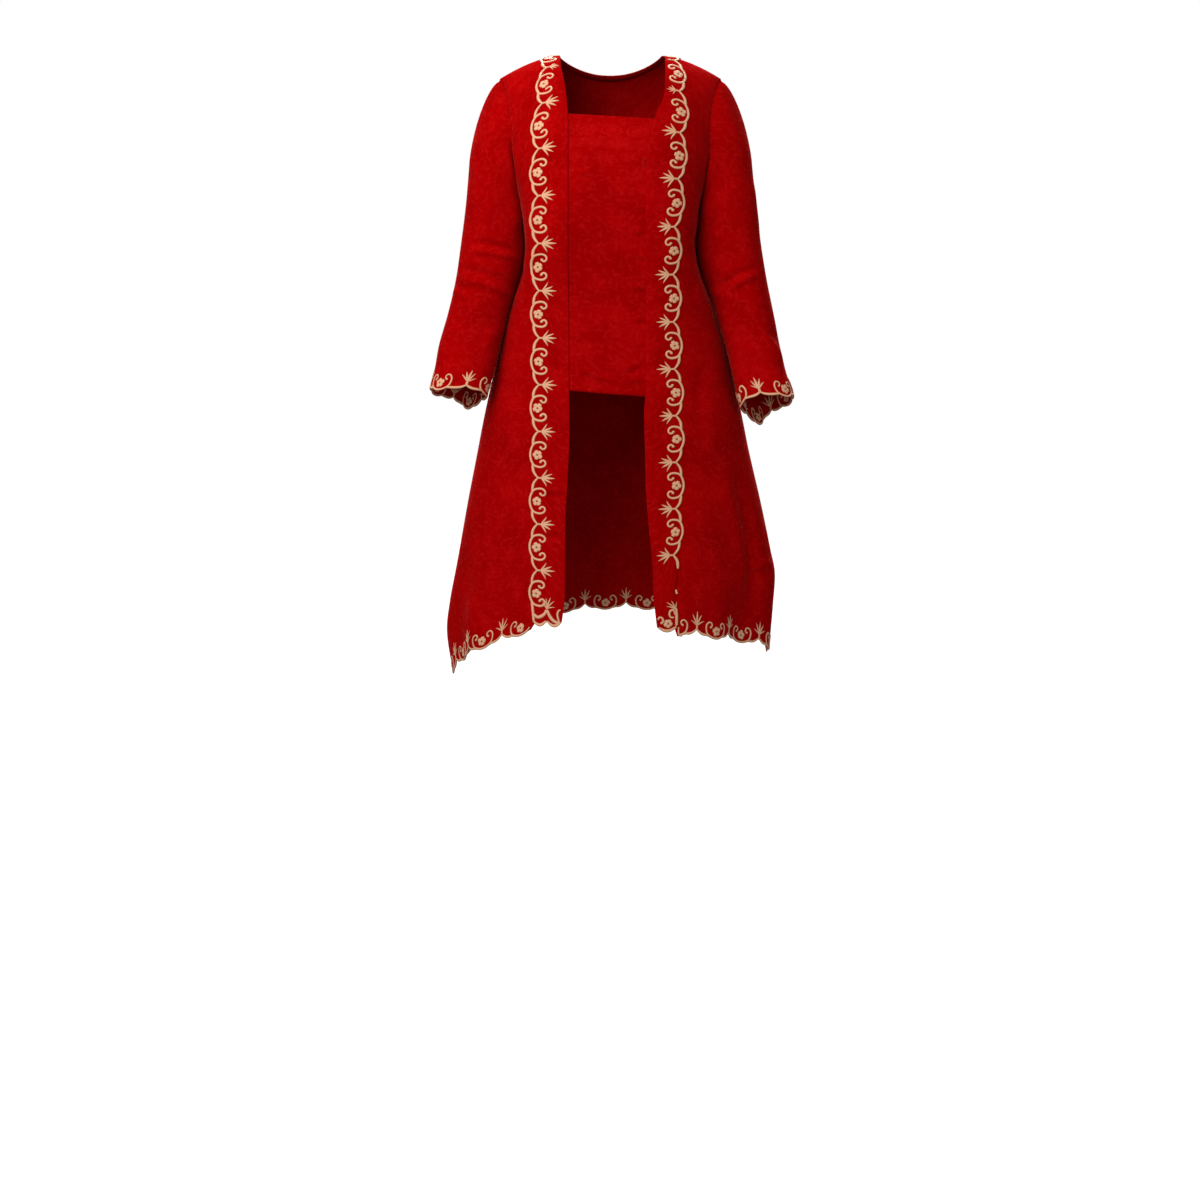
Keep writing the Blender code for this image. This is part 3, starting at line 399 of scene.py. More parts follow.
def torso_normal(angle, drop):
    across = torso(angle + NORMAL_STEP, drop) - torso(angle - NORMAL_STEP, drop)
    down = torso(angle, drop + NORMAL_STEP) - torso(angle, np.maximum(drop - NORMAL_STEP, 0))
    return unit(np.cross(down, across))


def angle_at(x, drop):
    """The angle in front at which a row reaches x."""
    x = np.asarray(x, float)
    half = np.where(x >= 0, TORSO.read("left", drop), TORSO.read("right", drop))
    share = np.minimum(np.abs(x) / half, 1)
    return np.sign(x) * np.arcsin(share ** (TORSO.read("square", drop) / 2))


def armhole_angle(face, drop):
    """Angle from the middle of a face at which its panel stops, at the armhole or the side seam."""
    scoop = np.sin(pi * np.minimum(drop / UNDERARM_DROP, 1) ** ARMHOLE_HIGH)
    scoop = np.maximum(scoop, 0) ** ARMHOLE_ROUND
    return np.where(drop >= UNDERARM_DROP, pi / 2, pi / 2 - ARMHOLE_CUT[face] * scoop)


def body_cloth(face, angle, drop, lift=0.0, creases=None):
    """Points of the body cloth with its creases, moved out by a lift."""
    points = torso(angle, drop)
    normals = torso_normal(angle, drop)
    push = crease_push(creases or face, points[..., 0], points[..., 2]) + lift
    return points + normals * np.asarray(push)[..., None]


def rows_of_drops(top, bottom, roll, spacing):
    """Drops for the rows of a panel: close together over the shoulder's roll and even below it."""
    steps = max(int(roll * 1.25 / spacing), 2)
    upper = [roll * (1 - cos(pi / 2 * k / steps)) for k in range(steps + 1)]
    count = int((bottom - roll) / spacing)
    lower = [roll + (bottom - roll) * k / count for k in range(1, count + 1)]
    return np.array([drop for drop in upper + lower if drop >= top])


def even_fractions(total, first, spacing=REPEAT / EDGE_COLUMNS):
    """Places along an edge, as shares of its length, with one on every cusp."""
    start = first % spacing
    places = [start + k * spacing for k in range(int((total - start) / spacing) + 1)]
    places = [p for p in places if spacing * 0.4 < p < total - spacing * 0.4]
    return np.array([0.0] + [p / total for p in places] + [1.0])


# ---------------------------------------------------------------- meshes
def new_mesh_object(name, points, faces, uvs, material, uv_faces=None):
    """A mesh object; each face's corners take their places on the flat cloth as UVs."""
    mesh = bpy.data.meshes.new(name)
    mesh.from_pydata([tuple(p) for p in points], [], faces)
    mesh.update()
    layer = mesh.uv_layers.new(name="cloth")
    corners = np.concatenate([np.asarray(face) for face in uv_faces or faces])
    layer.data.foreach_set("uv", np.asarray(uvs, np.float32)[corners].ravel())
    mesh.shade_smooth()
    mesh.materials.append(material)
    piece = bpy.data.objects.new(name, mesh)
    bpy.context.scene.collection.objects.link(piece)
    return piece


def grid_faces(rows, columns, closed=False, flip=False):
    faces = []
    for r in range(rows - 1):
        for c in range(columns if closed else columns - 1):
            d = (c + 1) % columns
            quad = [r * columns + c, (r + 1) * columns + c, (r + 1) * columns + d, r * columns + d]
            faces.append(quad[::-1] if flip else quad)
    return faces


def cloth_piece(name, points, outward, material, thickness, closed=False, from_hem=False):
    """One layer of cloth on a grid of points of its outer face, its wall inside them. The weave is laid
    from its top edge, or from its hem."""
    rows, columns = points.shape[:2]
    flat = np.concatenate((points, points[:, :1]), axis=1) if closed else points
    across = np.linalg.norm(np.diff(flat, axis=1), axis=-1)
    across = np.concatenate((np.zeros((rows, 1)), np.cumsum(across, axis=1)), axis=1)
    across -= across[:, columns // 2][:, None]
    down = np.linalg.norm(np.diff(flat, axis=0), axis=-1)
    down = np.concatenate((np.zeros((1, flat.shape[1])), np.cumsum(down, axis=0)), axis=0)
    if from_hem:
        down -= down[-1]
    uvs = np.stack((across, -down), -1).reshape(-1, 2)
    middle = points[rows // 2, columns // 3]
    a = points[rows // 2 + 1, columns // 3] - middle
    b = points[rows // 2, columns // 3 + 1] - middle
    flip = np.dot(np.cross(a, b), outward) < 0
    piece = new_mesh_object(name, points.reshape(-1, 3), grid_faces(rows, columns, closed, flip), uvs,
                            material, grid_faces(rows, flat.shape[1], False, flip))
    wall = piece.modifiers.new("wall", "SOLIDIFY")
    wall.thickness = thickness
    wall.offset = -1
    wall.use_even_offset = False
    return piece


def settle(piece):
    """Applies a piece's modifiers."""
    with bpy.context.temp_override(object=piece, active_object=piece, selected_objects=[piece]):
        for modifier in list(piece.modifiers):
            bpy.ops.object.modifier_apply(modifier=modifier.name)
    piece.data.shade_smooth()


# ---------------------------------------------------------------- embroidery
STROKE_ACROSS = (-1.0, -0.86, -0.45, 0.0, 0.45, 0.86, 1.0)
STROKE_RISE = (-0.12, 0.42, 0.88, 1.0, 0.88, 0.42, -0.12)
STITCH_HALF = 0.0018        # where the edge of any stroke lies on its flat thread
# half of a scroll from its middle on the edge to its curled end: radius in mm and turn in degrees
SCROLL_ARCS = Table("radius turn", (24, 33), (7.5, 37), (20, 20), (8.5, 45), (4.2, 90), (3.4, 90), (2.4, 70))
SPRAY = {
    "band": Table("turn length width", (0, 20.0, 3.6), (-17, 17.0, 3.2), (19, 17.2, 3.2),
                  (-41, 14.2, 2.7), (43, 14.4, 2.7)),
    "edge": Table("turn length width", (0, 20.0, 2.9), (-19, 17.8, 2.5), (18, 17.0, 2.5),
                  (-41, 12.6, 2.1), (43, 12.8, 2.1)),
    "cuff": Table("turn length width", (2, 17.4, 2.7), (-20, 15.4, 2.4), (24, 15.8, 2.4),
                  (-44, 12.0, 2.1), (46, 13.0, 2.1)),
}
# what is worked above the lobes at a band's bottom, in mm out from the opening edge and up from the lobes:
# sprays (out, up, share of a whole one, lean), flowers (out, up, radius) and lines (half widths at the
# start, middle and end, then the places that they pass)
BAND_FOOT = {
    "right": (("line", 1.9, 2.5, 2.2, (20.9, 24.0), (23.6, 18.6), (28.4, 14.6), (34.2, 12.9), (40.2, 16.5)),
              ("line", 1.9, 2.5, 2.0, (20.5, 24.0), (17.4, 17.0), (13.4, 11.2), (8.4, 7.6), (2.4, 5.8)),
              ("line", 1.3, 1.6, 1.5, (1.6, 24.6), (4.6, 22.9), (5.9, 17.6), (4.4, 10.6), (3.0, 6.6)),
              ("spray", 20.9, 25.0, 0.92, -16)),
    "left": (("line", 2.0, 2.2, 1.6, (27.2, 9.0), (27.4, 18.0), (27.2, 26.0), (26.8, 33.0)),
             ("line", 1.3, 1.6, 1.3, (25.6, 24.0), (23.0, 30.3), (18.6, 29.6), (17.2, 24.8), (19.6, 20.8),
              (23.6, 20.6)),
             ("line", 1.4, 1.6, 1.7, (1.2, 18.2), (3.4, 21.4), (7.0, 20.3), (8.6, 16.6), (6.9, 13.6),
              (4.6, 13.8)),
             ("line", 0.9, 1.3, 1.7, (26.4, 64.5), (26.3, 58.5), (27.6, 53.0)),
             ("flower", 15.4, 12.4, 6.4), ("spray", 26.0, 31.5, 0.80, -38)),
}
EDGE_WEIGHT = 0.82          # the hems' and cuffs' lines beside those of the bands
SPRAY_BASE = 0.0172
SPRAY_REACH = 0.0200


class Embroidery:
    """Raised satin-stitch strokes gathered for one edge. `place` takes lengths along the edge and in
    from its lobes and gives points on the cloth; a stroke stands up from them."""

    def __init__(self, place, start, stop, rise, seed, both=False, reach=None, weight=1.0):
        self.place, self.start, self.stop, self.rise, self.both = place, start, stop, rise, both
        self.weight = weight                    # how heavy its lines are
        self.narrow = lambda along: 1.0         # what undoes the stretch of an edge at a place
        self.reach = reach or (lambda along: np.full_like(along, 0.06))
        self.chance = np.random.default_rng(seed)
        self.points, self.faces, self.uvs, self.shades = [], [], [], []
        self.count = 0

    def vary(self, share):
        return 1 + share * (2 * self.chance.random() - 1)

    def stroke(self, path, half_widths, shade=0, height=1.0):
        """A stroke along a path of (along, inward) points in metres."""
        path, half_widths = np.asarray(path, float), np.asarray(half_widths, float)
        inside = ((path[:, 0] > self.start) & (path[:, 0] < self.stop)
                  & (path[:, 1] < self.reach(path[:, 0]) - half_widths * 0.6))
        if inside.sum() < 4:
            return
        first = int(np.argmax(inside))
        last = first + int(np.argmin(inside[first:])) if not inside[first:].all() else len(path)
        path, half_widths = path[first:last], half_widths[first:last]
        if len(path) < 3:
            return
        tangent = unit(np.gradient(path, axis=0))
        side = np.stack((-tangent[:, 1], tangent[:, 0]), -1)
        across = np.array(STROKE_ACROSS)
        flat = path[:, None] + side[:, None] * (half_widths[:, None] * across)[..., None]
        step = 0.0005
        on, ahead, inward = (self.place(flat[..., 0] + a, flat[..., 1] + b)
                             for a, b in ((0, 0), (step, 0), (0, step)))
        normal = unit(np.cross(ahead - on, inward - on))
        if np.mean(np.sum(normal * self.outward(on), -1)) < 0:
            normal = -normal
        full = np.minimum(half_widths / half_widths.max(), 1) ** 0.5
        rise = self.rise * height * np.array(STROKE_RISE)[None, :] * full[:, None]
        along = lengths_along(path)
        uv = np.stack(np.broadcast_arrays(along[:, None], STITCH_HALF * across), -1)
        faces = grid_faces(len(path), len(across))
        turned = np.dot(np.cross(on[1, 0] - on[0, 0], on[0, 1] - on[0, 0]), normal[0, 0]) < 0
        self.add(on + normal * rise[..., None], faces, uv, shade, turned)
        if self.both:
            under = on - normal * (self.layer + rise * 0.8)[..., None]
            self.add(under, faces, uv, shade, not turned)

    def take(self, other):
        """Adds the strokes of another edge's work to this one's."""
        for own, theirs in ((self.points, other.points), (self.uvs, other.uvs), (self.shades, other.shades)):
            own.extend(theirs)
        self.faces += [[self.count + k for k in face] for face in other.faces]
        self.count += other.count

    def add(self, points, faces, uv, shade, flip):
        base = self.count
        self.points.append(points.reshape(-1, 3))
        self.uvs.append(uv.reshape(-1, 2))
        for face in faces:
            face = face[::-1] if flip else face
            self.faces.append([base + k for k in face])
        self.shades += [shade] * len(faces)
        self.count += points.shape[0] * points.shape[1]

    def scroll(self, middle):
        """A C-shaped scroll that opens inward, with its ends curled in, and its flower."""
        half = [(0.0, 1.8)]
        widths = [1.7]
        heading, s, w = 0.0, 0.0, 1.8
        for k, (radius, turn) in enumerate(SCROLL_ARCS.rows):
            steps = max(int(radius * radians(turn) / 0.9), 5)
            for _ in range(steps):
                angle = radians(turn) / steps
                s += radius * angle * cos(heading + angle / 2)
                w += radius * angle * sin(heading + angle / 2)
                heading += angle
                half.append((s, w))
                widths.append((1.7, 1.7, 1.65, 1.6, 1.5, 1.5, 1.6)[k])
        half, widths = np.array(half) / 1000, np.array(widths) / 1000
        widths[-5:] *= np.array((1.15, 1.35, 1.45, 1.3, 0.8))
        widths *= np.interp(half[:, 1], (0.003, 0.008), (0.5 + 0.5 * self.weight, self.weight))
        for sign in (-1, 1):
            grow = self.vary(0.015)
            path = np.stack((middle + sign * half[:, 0] * grow, half[:, 1] * grow), -1)
            start = path[0] - (path[1] - path[0]) * 0.5
            self.stroke(np.concatenate(([start], path)),
                        np.concatenate(([widths[0]], widths)) * self.vary(0.05))
        self.flower(middle + 0.0002 * self.vary(1.0), 0.0119, 0.0065)

    def flower(self, middle, inward, radius):
        """Five broad petals that touch, round a small darker heart."""
        turn = self.chance.random() * 2 * pi
        narrow = self.narrow(middle)
        for k in range(5):
            a = turn + 2 * pi * k / 5
            t = np.linspace(0, 1, 7)
            reach = radius * self.vary(0.10)
            out = reach * (0.16 + 0.84 * t)
            path = np.stack((middle + narrow * out * cos(a), inward + out * sin(a)), -1)
            self.stroke(path, radius * 0.54 * np.sin(pi * (0.14 + 0.76 * t)) ** 0.5, 0, 0.8)
        ring = np.linspace(0, 2 * pi, 13)
        path = np.stack((middle + narrow * 0.13 * radius * np.cos(ring),
                         inward + 0.13 * radius * np.sin(ring)), -1)
        self.stroke(path, np.full(13, radius * 0.15), 1, 1.1)

    def stems(self, cusp):
        """The two stems that run along the cut edge to a cusp and turn in there to meet."""
        for sign in (-1, 1):
            c = np.linspace(0.0186, 0.0, 15)
            edge = SCROLL_BULGE - scallop(c)
            width = np.interp(c, (0, 0.004, 0.0125, 0.0186), (0.0024, 0.0034, 0.0042, 0.0028)) \
                * self.vary(0.06) * (0.4 + 0.6 * self.weight)
            path = np.stack((cusp + sign * c, edge + width * 0.46), -1)
            self.stroke(path, width / 2)
            c = np.linspace(0.0, 1.0, 8)
            side = sign * 0.0006
            path = np.stack((cusp + side * (1 - 0.4 * c), 0.0125 + 0.0055 * c), -1)
            self.stroke(path, np.interp(c, (0, 0.6, 1), (0.0008, 0.0009, 0.0007)))

    def spray(self, cusp, kind, lean=0.0, base=SPRAY_BASE, share=1.0):
        """A fan of five slim leaves over a cusp, with painted shade where they meet: a stroke in the darker
        gold.
        """
        narrow = self.narrow(cusp)
        t = np.linspace(0, 1, 9)
        # painted shade where the leaves meet, drawn in the darker gold
        path = np.stack((np.full_like(t, cusp), base + (0.0005 + 0.0090 * t) * share), -1)
        self.stroke(path, share * 0.0020 * np.sin(pi * (0.1 + 0.85 * t)) ** 0.6, 1, 0.6)
        for turn, length, width in SPRAY[kind].rows:
            a = radians(turn + lean) * self.vary(0.05)
            length = length * self.vary(0.05) * share / 1000
            t = np.linspace(0, 1, 11)
            bend = a * (1 + 0.28 * t)
            path = np.stack((cusp + narrow * length * t * np.sin(bend), base + length * t * np.cos(bend)), -1)
            half = width * share / 2000 * np.sin(pi * (0.06 + 0.93 * t) ** 0.9) ** 0.8
            self.stroke(path, half, 0, 0.9)

    def mesh(self, name, threads):
        piece = new_mesh_object(name, np.concatenate(self.points), self.faces, np.concatenate(self.uvs),
                                threads[0])
        piece.data.materials.append(threads[1])
        piece.data.polygons.foreach_set("material_index", self.shades)
        return piece


def repeats(first, start, stop):
    """Places of the cusps between two ends of an edge."""
    k = int(np.floor((start - first) / REPEAT)) - 1
    places = []
    while first + k * REPEAT < stop + REPEAT:
        places.append(first + k * REPEAT)
        k += 1
    return places


def body_outward(points):
    return np.stack((points[..., 0], points[..., 1], np.full(points.shape[:-1], SHOULDER_FALL)), -1)


# ---------------------------------------------------------------- materials
def linear(hex_colour):
    """An sRGB hex colour as linear red, green and blue."""
    values = [int(hex_colour[k:k + 2], 16) / 255 for k in (1, 3, 5)]
    return tuple(v / 12.92 if v <= 0.04045 else ((v + 0.055) / 1.055) ** 2.4 for v in values)


def node(tree, kind, inputs=None, **settings):
    """Adds a node with its settings, its values and its links."""
    made = tree.nodes.new(kind)
    for name, value in settings.items():
        setattr(made, name, value)
    for socket, value in (inputs or {}).items():
        if isinstance(value, bpy.types.NodeSocket):
            tree.links.new(value, made.inputs[socket])
        else:
            made.inputs[socket].default_value = value
    return made


def principled(name, **sockets):
    """A new material and its surface shader, with the values that are the same all over."""
    material = bpy.data.materials.new(name)
    material.use_nodes = True
    shader = material.node_tree.nodes["Principled BSDF"]
    for socket, value in sockets.items():
        shader.inputs[socket.replace("_", " ")].default_value = value
    return material, material.node_tree, shader


def silk_jacquard(name, cloth, border=False):
    """Red silk jacquard: a satin ground, clouded and finely speckled by its weave, that shines along the
    sides of a fold, and feathery woven flowers that stay matt there and are a little lighter in front; with
    small leaves, and faint lighter wisps where the float threads catch the light. The border adds the rows
    of woven ovals along the cloth's top edge."""
    material, tree, shader = principled(name, IOR=1.45, Sheen_Roughness=0.32, Sheen_Tint=(*cloth.sheen, 1),
                                        Specular_IOR_Level=0.0, Roughness=0.6)
    uv = node(tree, "ShaderNodeUVMap", uv_map="cloth").outputs["UV"]

    def maths(operation, *values):
        return node(tree, "ShaderNodeMath", dict(enumerate(values)), operation=operation).outputs[0]

    def between(value, low, high, to_low=0.0, to_high=1.0):
        return node(tree, "ShaderNodeMapRange", {"Value": value, "From Min": low, "From Max": high,
                                                 "To Min": to_low, "To Max": to_high},
                    interpolation_type="SMOOTHSTEP").outputs["Result"]

    def mixed(factor, first, second):
        return node(tree, "ShaderNodeMix", {"Factor": factor, 6: first, 7: second},
                    data_type="RGBA").outputs[2]

    def cloud(scale, detail, vector=uv, rough=0.5):
        return node(tree, "ShaderNodeTexNoise", {"Vector": vector, "Scale": scale, "Detail": detail,
                                                 "Roughness": rough}).outputs["Fac"]

    ragged = cloud(420.0, 3.0)
    # the weave's outlines wander a few millimetres
    wander = node(tree, "ShaderNodeTexNoise", {"Vector": uv, "Scale": 95.0, "Detail": 2.0}).outputs["Color"]
    bent = node(tree, "ShaderNodeVectorMath", {0: wander, 1: (0.013, 0.013, 0.0), 2: uv},
                operation="MULTIPLY_ADD").outputs[0]

    def motif(size, petals, reach, deep, feather, scatter):
        """Flowers of some petals, about one to each square of a size, with ragged woven edges."""
        scaled = node(tree, "ShaderNodeVectorMath", {0: bent, "Scale": 1 / size},
                      operation="SCALE").outputs[0]
        cell = node(tree, "ShaderNodeTexVoronoi", {"Vector": scaled, "Scale": 1.0, "Randomness": scatter},
                    voronoi_dimensions="2D")
        local = node(tree, "ShaderNodeVectorMath", {0: scaled, 1: cell.outputs["Position"]},
                     operation="SUBTRACT").outputs[0]
        part = node(tree, "ShaderNodeSeparateXYZ", {0: local})
        spin = node(tree, "ShaderNodeSeparateXYZ", {0: cell.outputs["Color"]})
        angle = maths("ARCTAN2", part.outputs["Y"], part.outputs["X"])
        wave = maths("COSINE", maths("MULTIPLY", maths("MULTIPLY_ADD", spin.outputs["X"], 6.28, angle),
                                     petals))
        edge = maths("MULTIPLY_ADD", ragged, feather, maths("MULTIPLY_ADD", wave, deep, reach - feather / 2))
        return between(maths("SUBTRACT", edge, cell.outputs["Distance"]), -0.09, 0.11)

    # woven flowers about 24 mm across, 38 mm apart, and leaves of 8 mm between them
    flowers = motif(0.038, 6.0, 0.24, 0.09, 0.62, 0.85)
    hearts = motif(0.038, 6.0, 0.06, 0.03, 0.05, 0.85)
    leaves = motif(0.014, 2.0, 0.20, 0.17, 0.20, 0.9)
    figure = maths("MULTIPLY", maths("SUBTRACT", flowers, hearts),
                   between(cloud(11.0, 1.0), 0.30, 0.55, 0.35, 1.0))
    # wisps 15 mm long, slanting over the cloth
    slant = node(tree, "ShaderNodeMapping", {"Vector": uv, "Rotation": (0, 0, radians(33)),
                                             "Scale": (1.0, 2.8, 1.0)}).outputs[0]
    wisps = between(cloud(85.0, 3.0, slant, 0.6), 0.52, 0.74)
    speckle = between(cloud(640.0, 2.0), 0.36, 0.64)
    clouded = between(cloud(13.0, 3.0), 0.30, 0.70)
    ground = mixed(maths("MULTIPLY_ADD", speckle, 0.34, maths("MULTIPLY", clouded, 0.66)),
                   (*cloth.shade, 1), (*cloth.red, 1))
    # painted highlight: the wisps where the float threads catch the light are painted lighter into the colour
    ground = mixed(maths("MULTIPLY", wisps, 0.40), ground, (*cloth.light, 1))
    ground = mixed(maths("MULTIPLY", leaves, 0.26), ground, (*cloth.light, 1))
    marks = maths("MULTIPLY", figure, 0.36)
    if border:
        place = node(tree, "ShaderNodeSeparateXYZ", {0: uv})
        for down, apart, wide, tall, shift in ((0.020, 0.0345, 0.0085, 0.0045, 0.0),
                                               (0.055, 0.0345, 0.0055, 0.0036, 0.3)):
            # ovals in a row along the top edge, each ringed by a lighter line
            along = maths("FRACT", maths("MULTIPLY_ADD", place.outputs["X"], 1 / apart, 0.5 + shift))
            along = maths("SUBTRACT", along, 0.5)
            x = maths("MULTIPLY", along, apart / wide)
            y = maths("MULTIPLY", maths("ADD", place.outputs["Y"], down), 1 / tall)
            away = maths("SQRT", maths("ADD", maths("MULTIPLY", x, x), maths("MULTIPLY", y, y)))
            away = maths("MULTIPLY_ADD", ragged, 0.7, maths("SUBTRACT", away, 0.35))
            marks = maths("MAXIMUM", marks, maths("MULTIPLY", between(away, 1.15, 0.75), 0.40))
            ring = between(maths("ABSOLUTE", maths("SUBTRACT", away, 1.5)), 0.35, 0.0, 0.0, 0.28)
            ground = mixed(ring, ground, (*cloth.light, 1))
        band = between(maths("ABSOLUTE", maths("ADD", place.outputs["Y"], 0.038)), 0.009, 0.003, 0.0, 0.30)
        ground = mixed(maths("MULTIPLY", band, ragged), ground, (*cloth.light, 1))
    tree.links.new(mixed(marks, ground, (*cloth.figure, 1)), shader.inputs["Base Color"])
    shine = maths("MULTIPLY", maths("MULTIPLY_ADD", wisps, 0.30, 0.16), between(figure, 0.0, 0.8, 1.0, 0.1))
    tree.links.new(shine, shader.inputs["Sheen Weight"])
    # threads 0.3 mm apart in the silk, drawn 0.9 mm apart so that they show
    warp = node(tree, "ShaderNodeTexWave", {"Vector": uv, "Scale": 175.0, "Distortion": 0.6, "Detail": 1.0},
                wave_type="BANDS", bands_direction="X").outputs["Fac"]
    weft = node(tree, "ShaderNodeTexWave", {"Vector": uv, "Scale": 175.0, "Distortion": 0.6, "Detail": 1.0},
                wave_type="BANDS", bands_direction="Y").outputs["Fac"]
    thread = node(tree, "ShaderNodeMix", {"Factor": figure, 2: warp, 3: weft}).outputs[0]
    relief = maths("MULTIPLY_ADD", thread, 0.30, maths("MULTIPLY_ADD", speckle, 0.35, figure))
    bump = node(tree, "ShaderNodeBump", {"Height": relief, "Strength": 0.35,
                                         "Distance": 0.00025}).outputs["Normal"]
    tree.links.new(bump, shader.inputs["Normal"])
    return material


def satin_stitch(name, colour, edge, spacing=0.0011):
    """Gold machine-embroidery thread: fine parallel stitches across each stroke, gold along their crown, with
    painted shade along the stroke's edges where they dive into the cloth and in the grooves between them."""
    material, tree, shader = principled(name, Roughness=0.45, IOR=1.5, Sheen_Weight=0.08,
                                        Specular_IOR_Level=0.35, Metallic=0.0)
    uv = node(tree, "ShaderNodeUVMap", uv_map="cloth").outputs["UV"]
    part = node(tree, "ShaderNodeSeparateXYZ", {0: uv})
    # stitches 0.4 mm apart, drawn coarser so that they show
    count = node(tree, "ShaderNodeMath", {0: part.outputs["X"], 1: 2 * pi / spacing}, operation="MULTIPLY")
    slant = node(tree, "ShaderNodeMath", {0: part.outputs["Y"], 1: 1500.0, 2: count.outputs[0]},
                 operation="MULTIPLY_ADD")
    stitch = node(tree, "ShaderNodeMath", {0: slant.outputs[0]}, operation="SINE").outputs[0]
    crown = node(tree, "ShaderNodeMath", {0: part.outputs["Y"]}, operation="ABSOLUTE").outputs[0]
    # painted shade: each stroke darkens towards its edges, where the stitches dive into the cloth
    edges = node(tree, "ShaderNodeMapRange", {"Value": crown, "From Min": 0.55 * STITCH_HALF,
                                              "From Max": 1.05 * STITCH_HALF},
                 interpolation_type="SMOOTHSTEP").outputs["Result"]
    # painted shade in the grooves between the stitches
    stitch_gap_shade = node(tree, "ShaderNodeMapRange", {"Value": stitch, "From Min": -1.0, "From Max": 0.2,
                                             "To Min": 0.35, "To Max": 0.0}).outputs["Result"]
    painted_shade = node(tree, "ShaderNodeMath", {0: edges, 1: 0.8, 2: stitch_gap_shade}, operation="MULTIPLY_ADD",
                use_clamp=True).outputs[0]
    tint = node(tree, "ShaderNodeMix", {"Factor": painted_shade, 6: (*colour, 1), 7: (*edge, 1)},
                data_type="RGBA").outputs[2]
    tree.links.new(tint, shader.inputs["Base Color"])
    bump = node(tree, "ShaderNodeBump", {"Height": stitch, "Strength": 0.5,
                                         "Distance": 0.00015}).outputs["Normal"]
    tree.links.new(bump, shader.inputs["Normal"])
    return material


def twisted_thread(name, colour):
    """Twisted red sewing thread, matt, with painted shade in slanting lines between its plies."""
    material, tree, shader = principled(name, Roughness=0.7, Sheen_Weight=0.05, IOR=1.4,
                                        Specular_IOR_Level=0.15)
    place = node(tree, "ShaderNodeTexCoord").outputs["Object"]
    # plies 0.6 mm apart
    plies = node(tree, "ShaderNodeTexWave", {"Vector": place, "Scale": 260.0}, wave_type="BANDS",
                 bands_direction="DIAGONAL").outputs["Fac"]
    # painted shade in the grooves between the plies
    painted_shade = tuple(v * 0.45 for v in colour)
    tint = node(tree, "ShaderNodeMix", {"Factor": plies, 6: (*painted_shade, 1), 7: (*colour, 1)},
                data_type="RGBA").outputs[2]
    tree.links.new(tint, shader.inputs["Base Color"])
    return material


def painted_floor(name, colour):
    """A plain pale studio floor, matt paint with a faint mottle."""
    material, tree, shader = principled(name, Roughness=0.9, Specular_IOR_Level=0.1)
    place = node(tree, "ShaderNodeTexCoord").outputs["Object"]
    mottle = node(tree, "ShaderNodeTexNoise", {"Vector": place, "Scale": 3.0, "Detail": 2.0}).outputs["Fac"]
    dull = tuple(v * 0.985 for v in colour)
    tint = node(tree, "ShaderNodeMix", {"Factor": mottle, 6: (*dull, 1), 7: (*colour, 1)},
                data_type="RGBA").outputs[2]
    tree.links.new(tint, shader.inputs["Base Color"])
    return material


def finish(name, maker, *settings):
    """A material by name, made the first time that it is asked for."""
    return bpy.data.materials.get(name) or maker(name, *settings)


def silk(cloth, border=False):
    name = "silk_jacquard_woven_border" if border else "silk_jacquard_woven"
    return finish(name, silk_jacquard, cloth, border)


def gold(thread):
    # each material's second colour is the painted shade of its strokes' edges and stitch grooves
    return [finish("gold_thread_satin_stitch", satin_stitch, tuple(thread.gold), tuple(thread.gold_shade)),
            # darker gold at the flowers' hearts, and painted shade where a spray's leaves meet
            finish("gold_thread_dark_hearts_and_shade", satin_stitch, tuple(thread.centre), tuple(thread.gold_shade))]


def dress(piece, slot, *nodes):
    """Rides a piece on the body and hides the parts of the model that it stands for."""
    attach(piece, BODY)
    if nodes:
        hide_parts(*nodes)


# ---------------------------------------------------------------- sizes and colours a user would change
class KebayaCloth(PropertyGroup):
    thickness: FloatProperty(name="Silk thickness", description="Wall of one layer of silk", default=0.0010,
                             min=0.0003, max=0.0014, unit="LENGTH", precision=4)
    spacing: FloatProperty(name="Row spacing", description="Height of one row of the cloth's mesh",
                           default=0.0040, min=0.002, max=0.02, unit="LENGTH", precision=4)
    red: FloatVectorProperty(name="Red", description="Colour of the satin ground", subtype="COLOR",
                             default=linear("#a00103"), min=0, max=1)
    shade: FloatVectorProperty(name="Deep red", description="Darker clouds of the satin ground",
                               subtype="COLOR", default=linear("#8a0001"), min=0, max=1)
    figure: FloatVectorProperty(name="Woven figure", description="Colour of the woven flowers",
                                subtype="COLOR", default=linear("#b00a0b"), min=0, max=1)
    # painted highlight of the float threads' wisps where they catch the light; the woven leaves and the
    # border's rings take it as their own lighter colour
    light: FloatVectorProperty(name="Light threads", description="Lighter wisps of the float threads",
                               subtype="COLOR", default=linear("#b41214"), min=0, max=1)
    sheen: FloatVectorProperty(name="Sheen", description="Tint of the silk's sheen", subtype="COLOR",
                               default=linear("#ff6a60"), min=0, max=1)


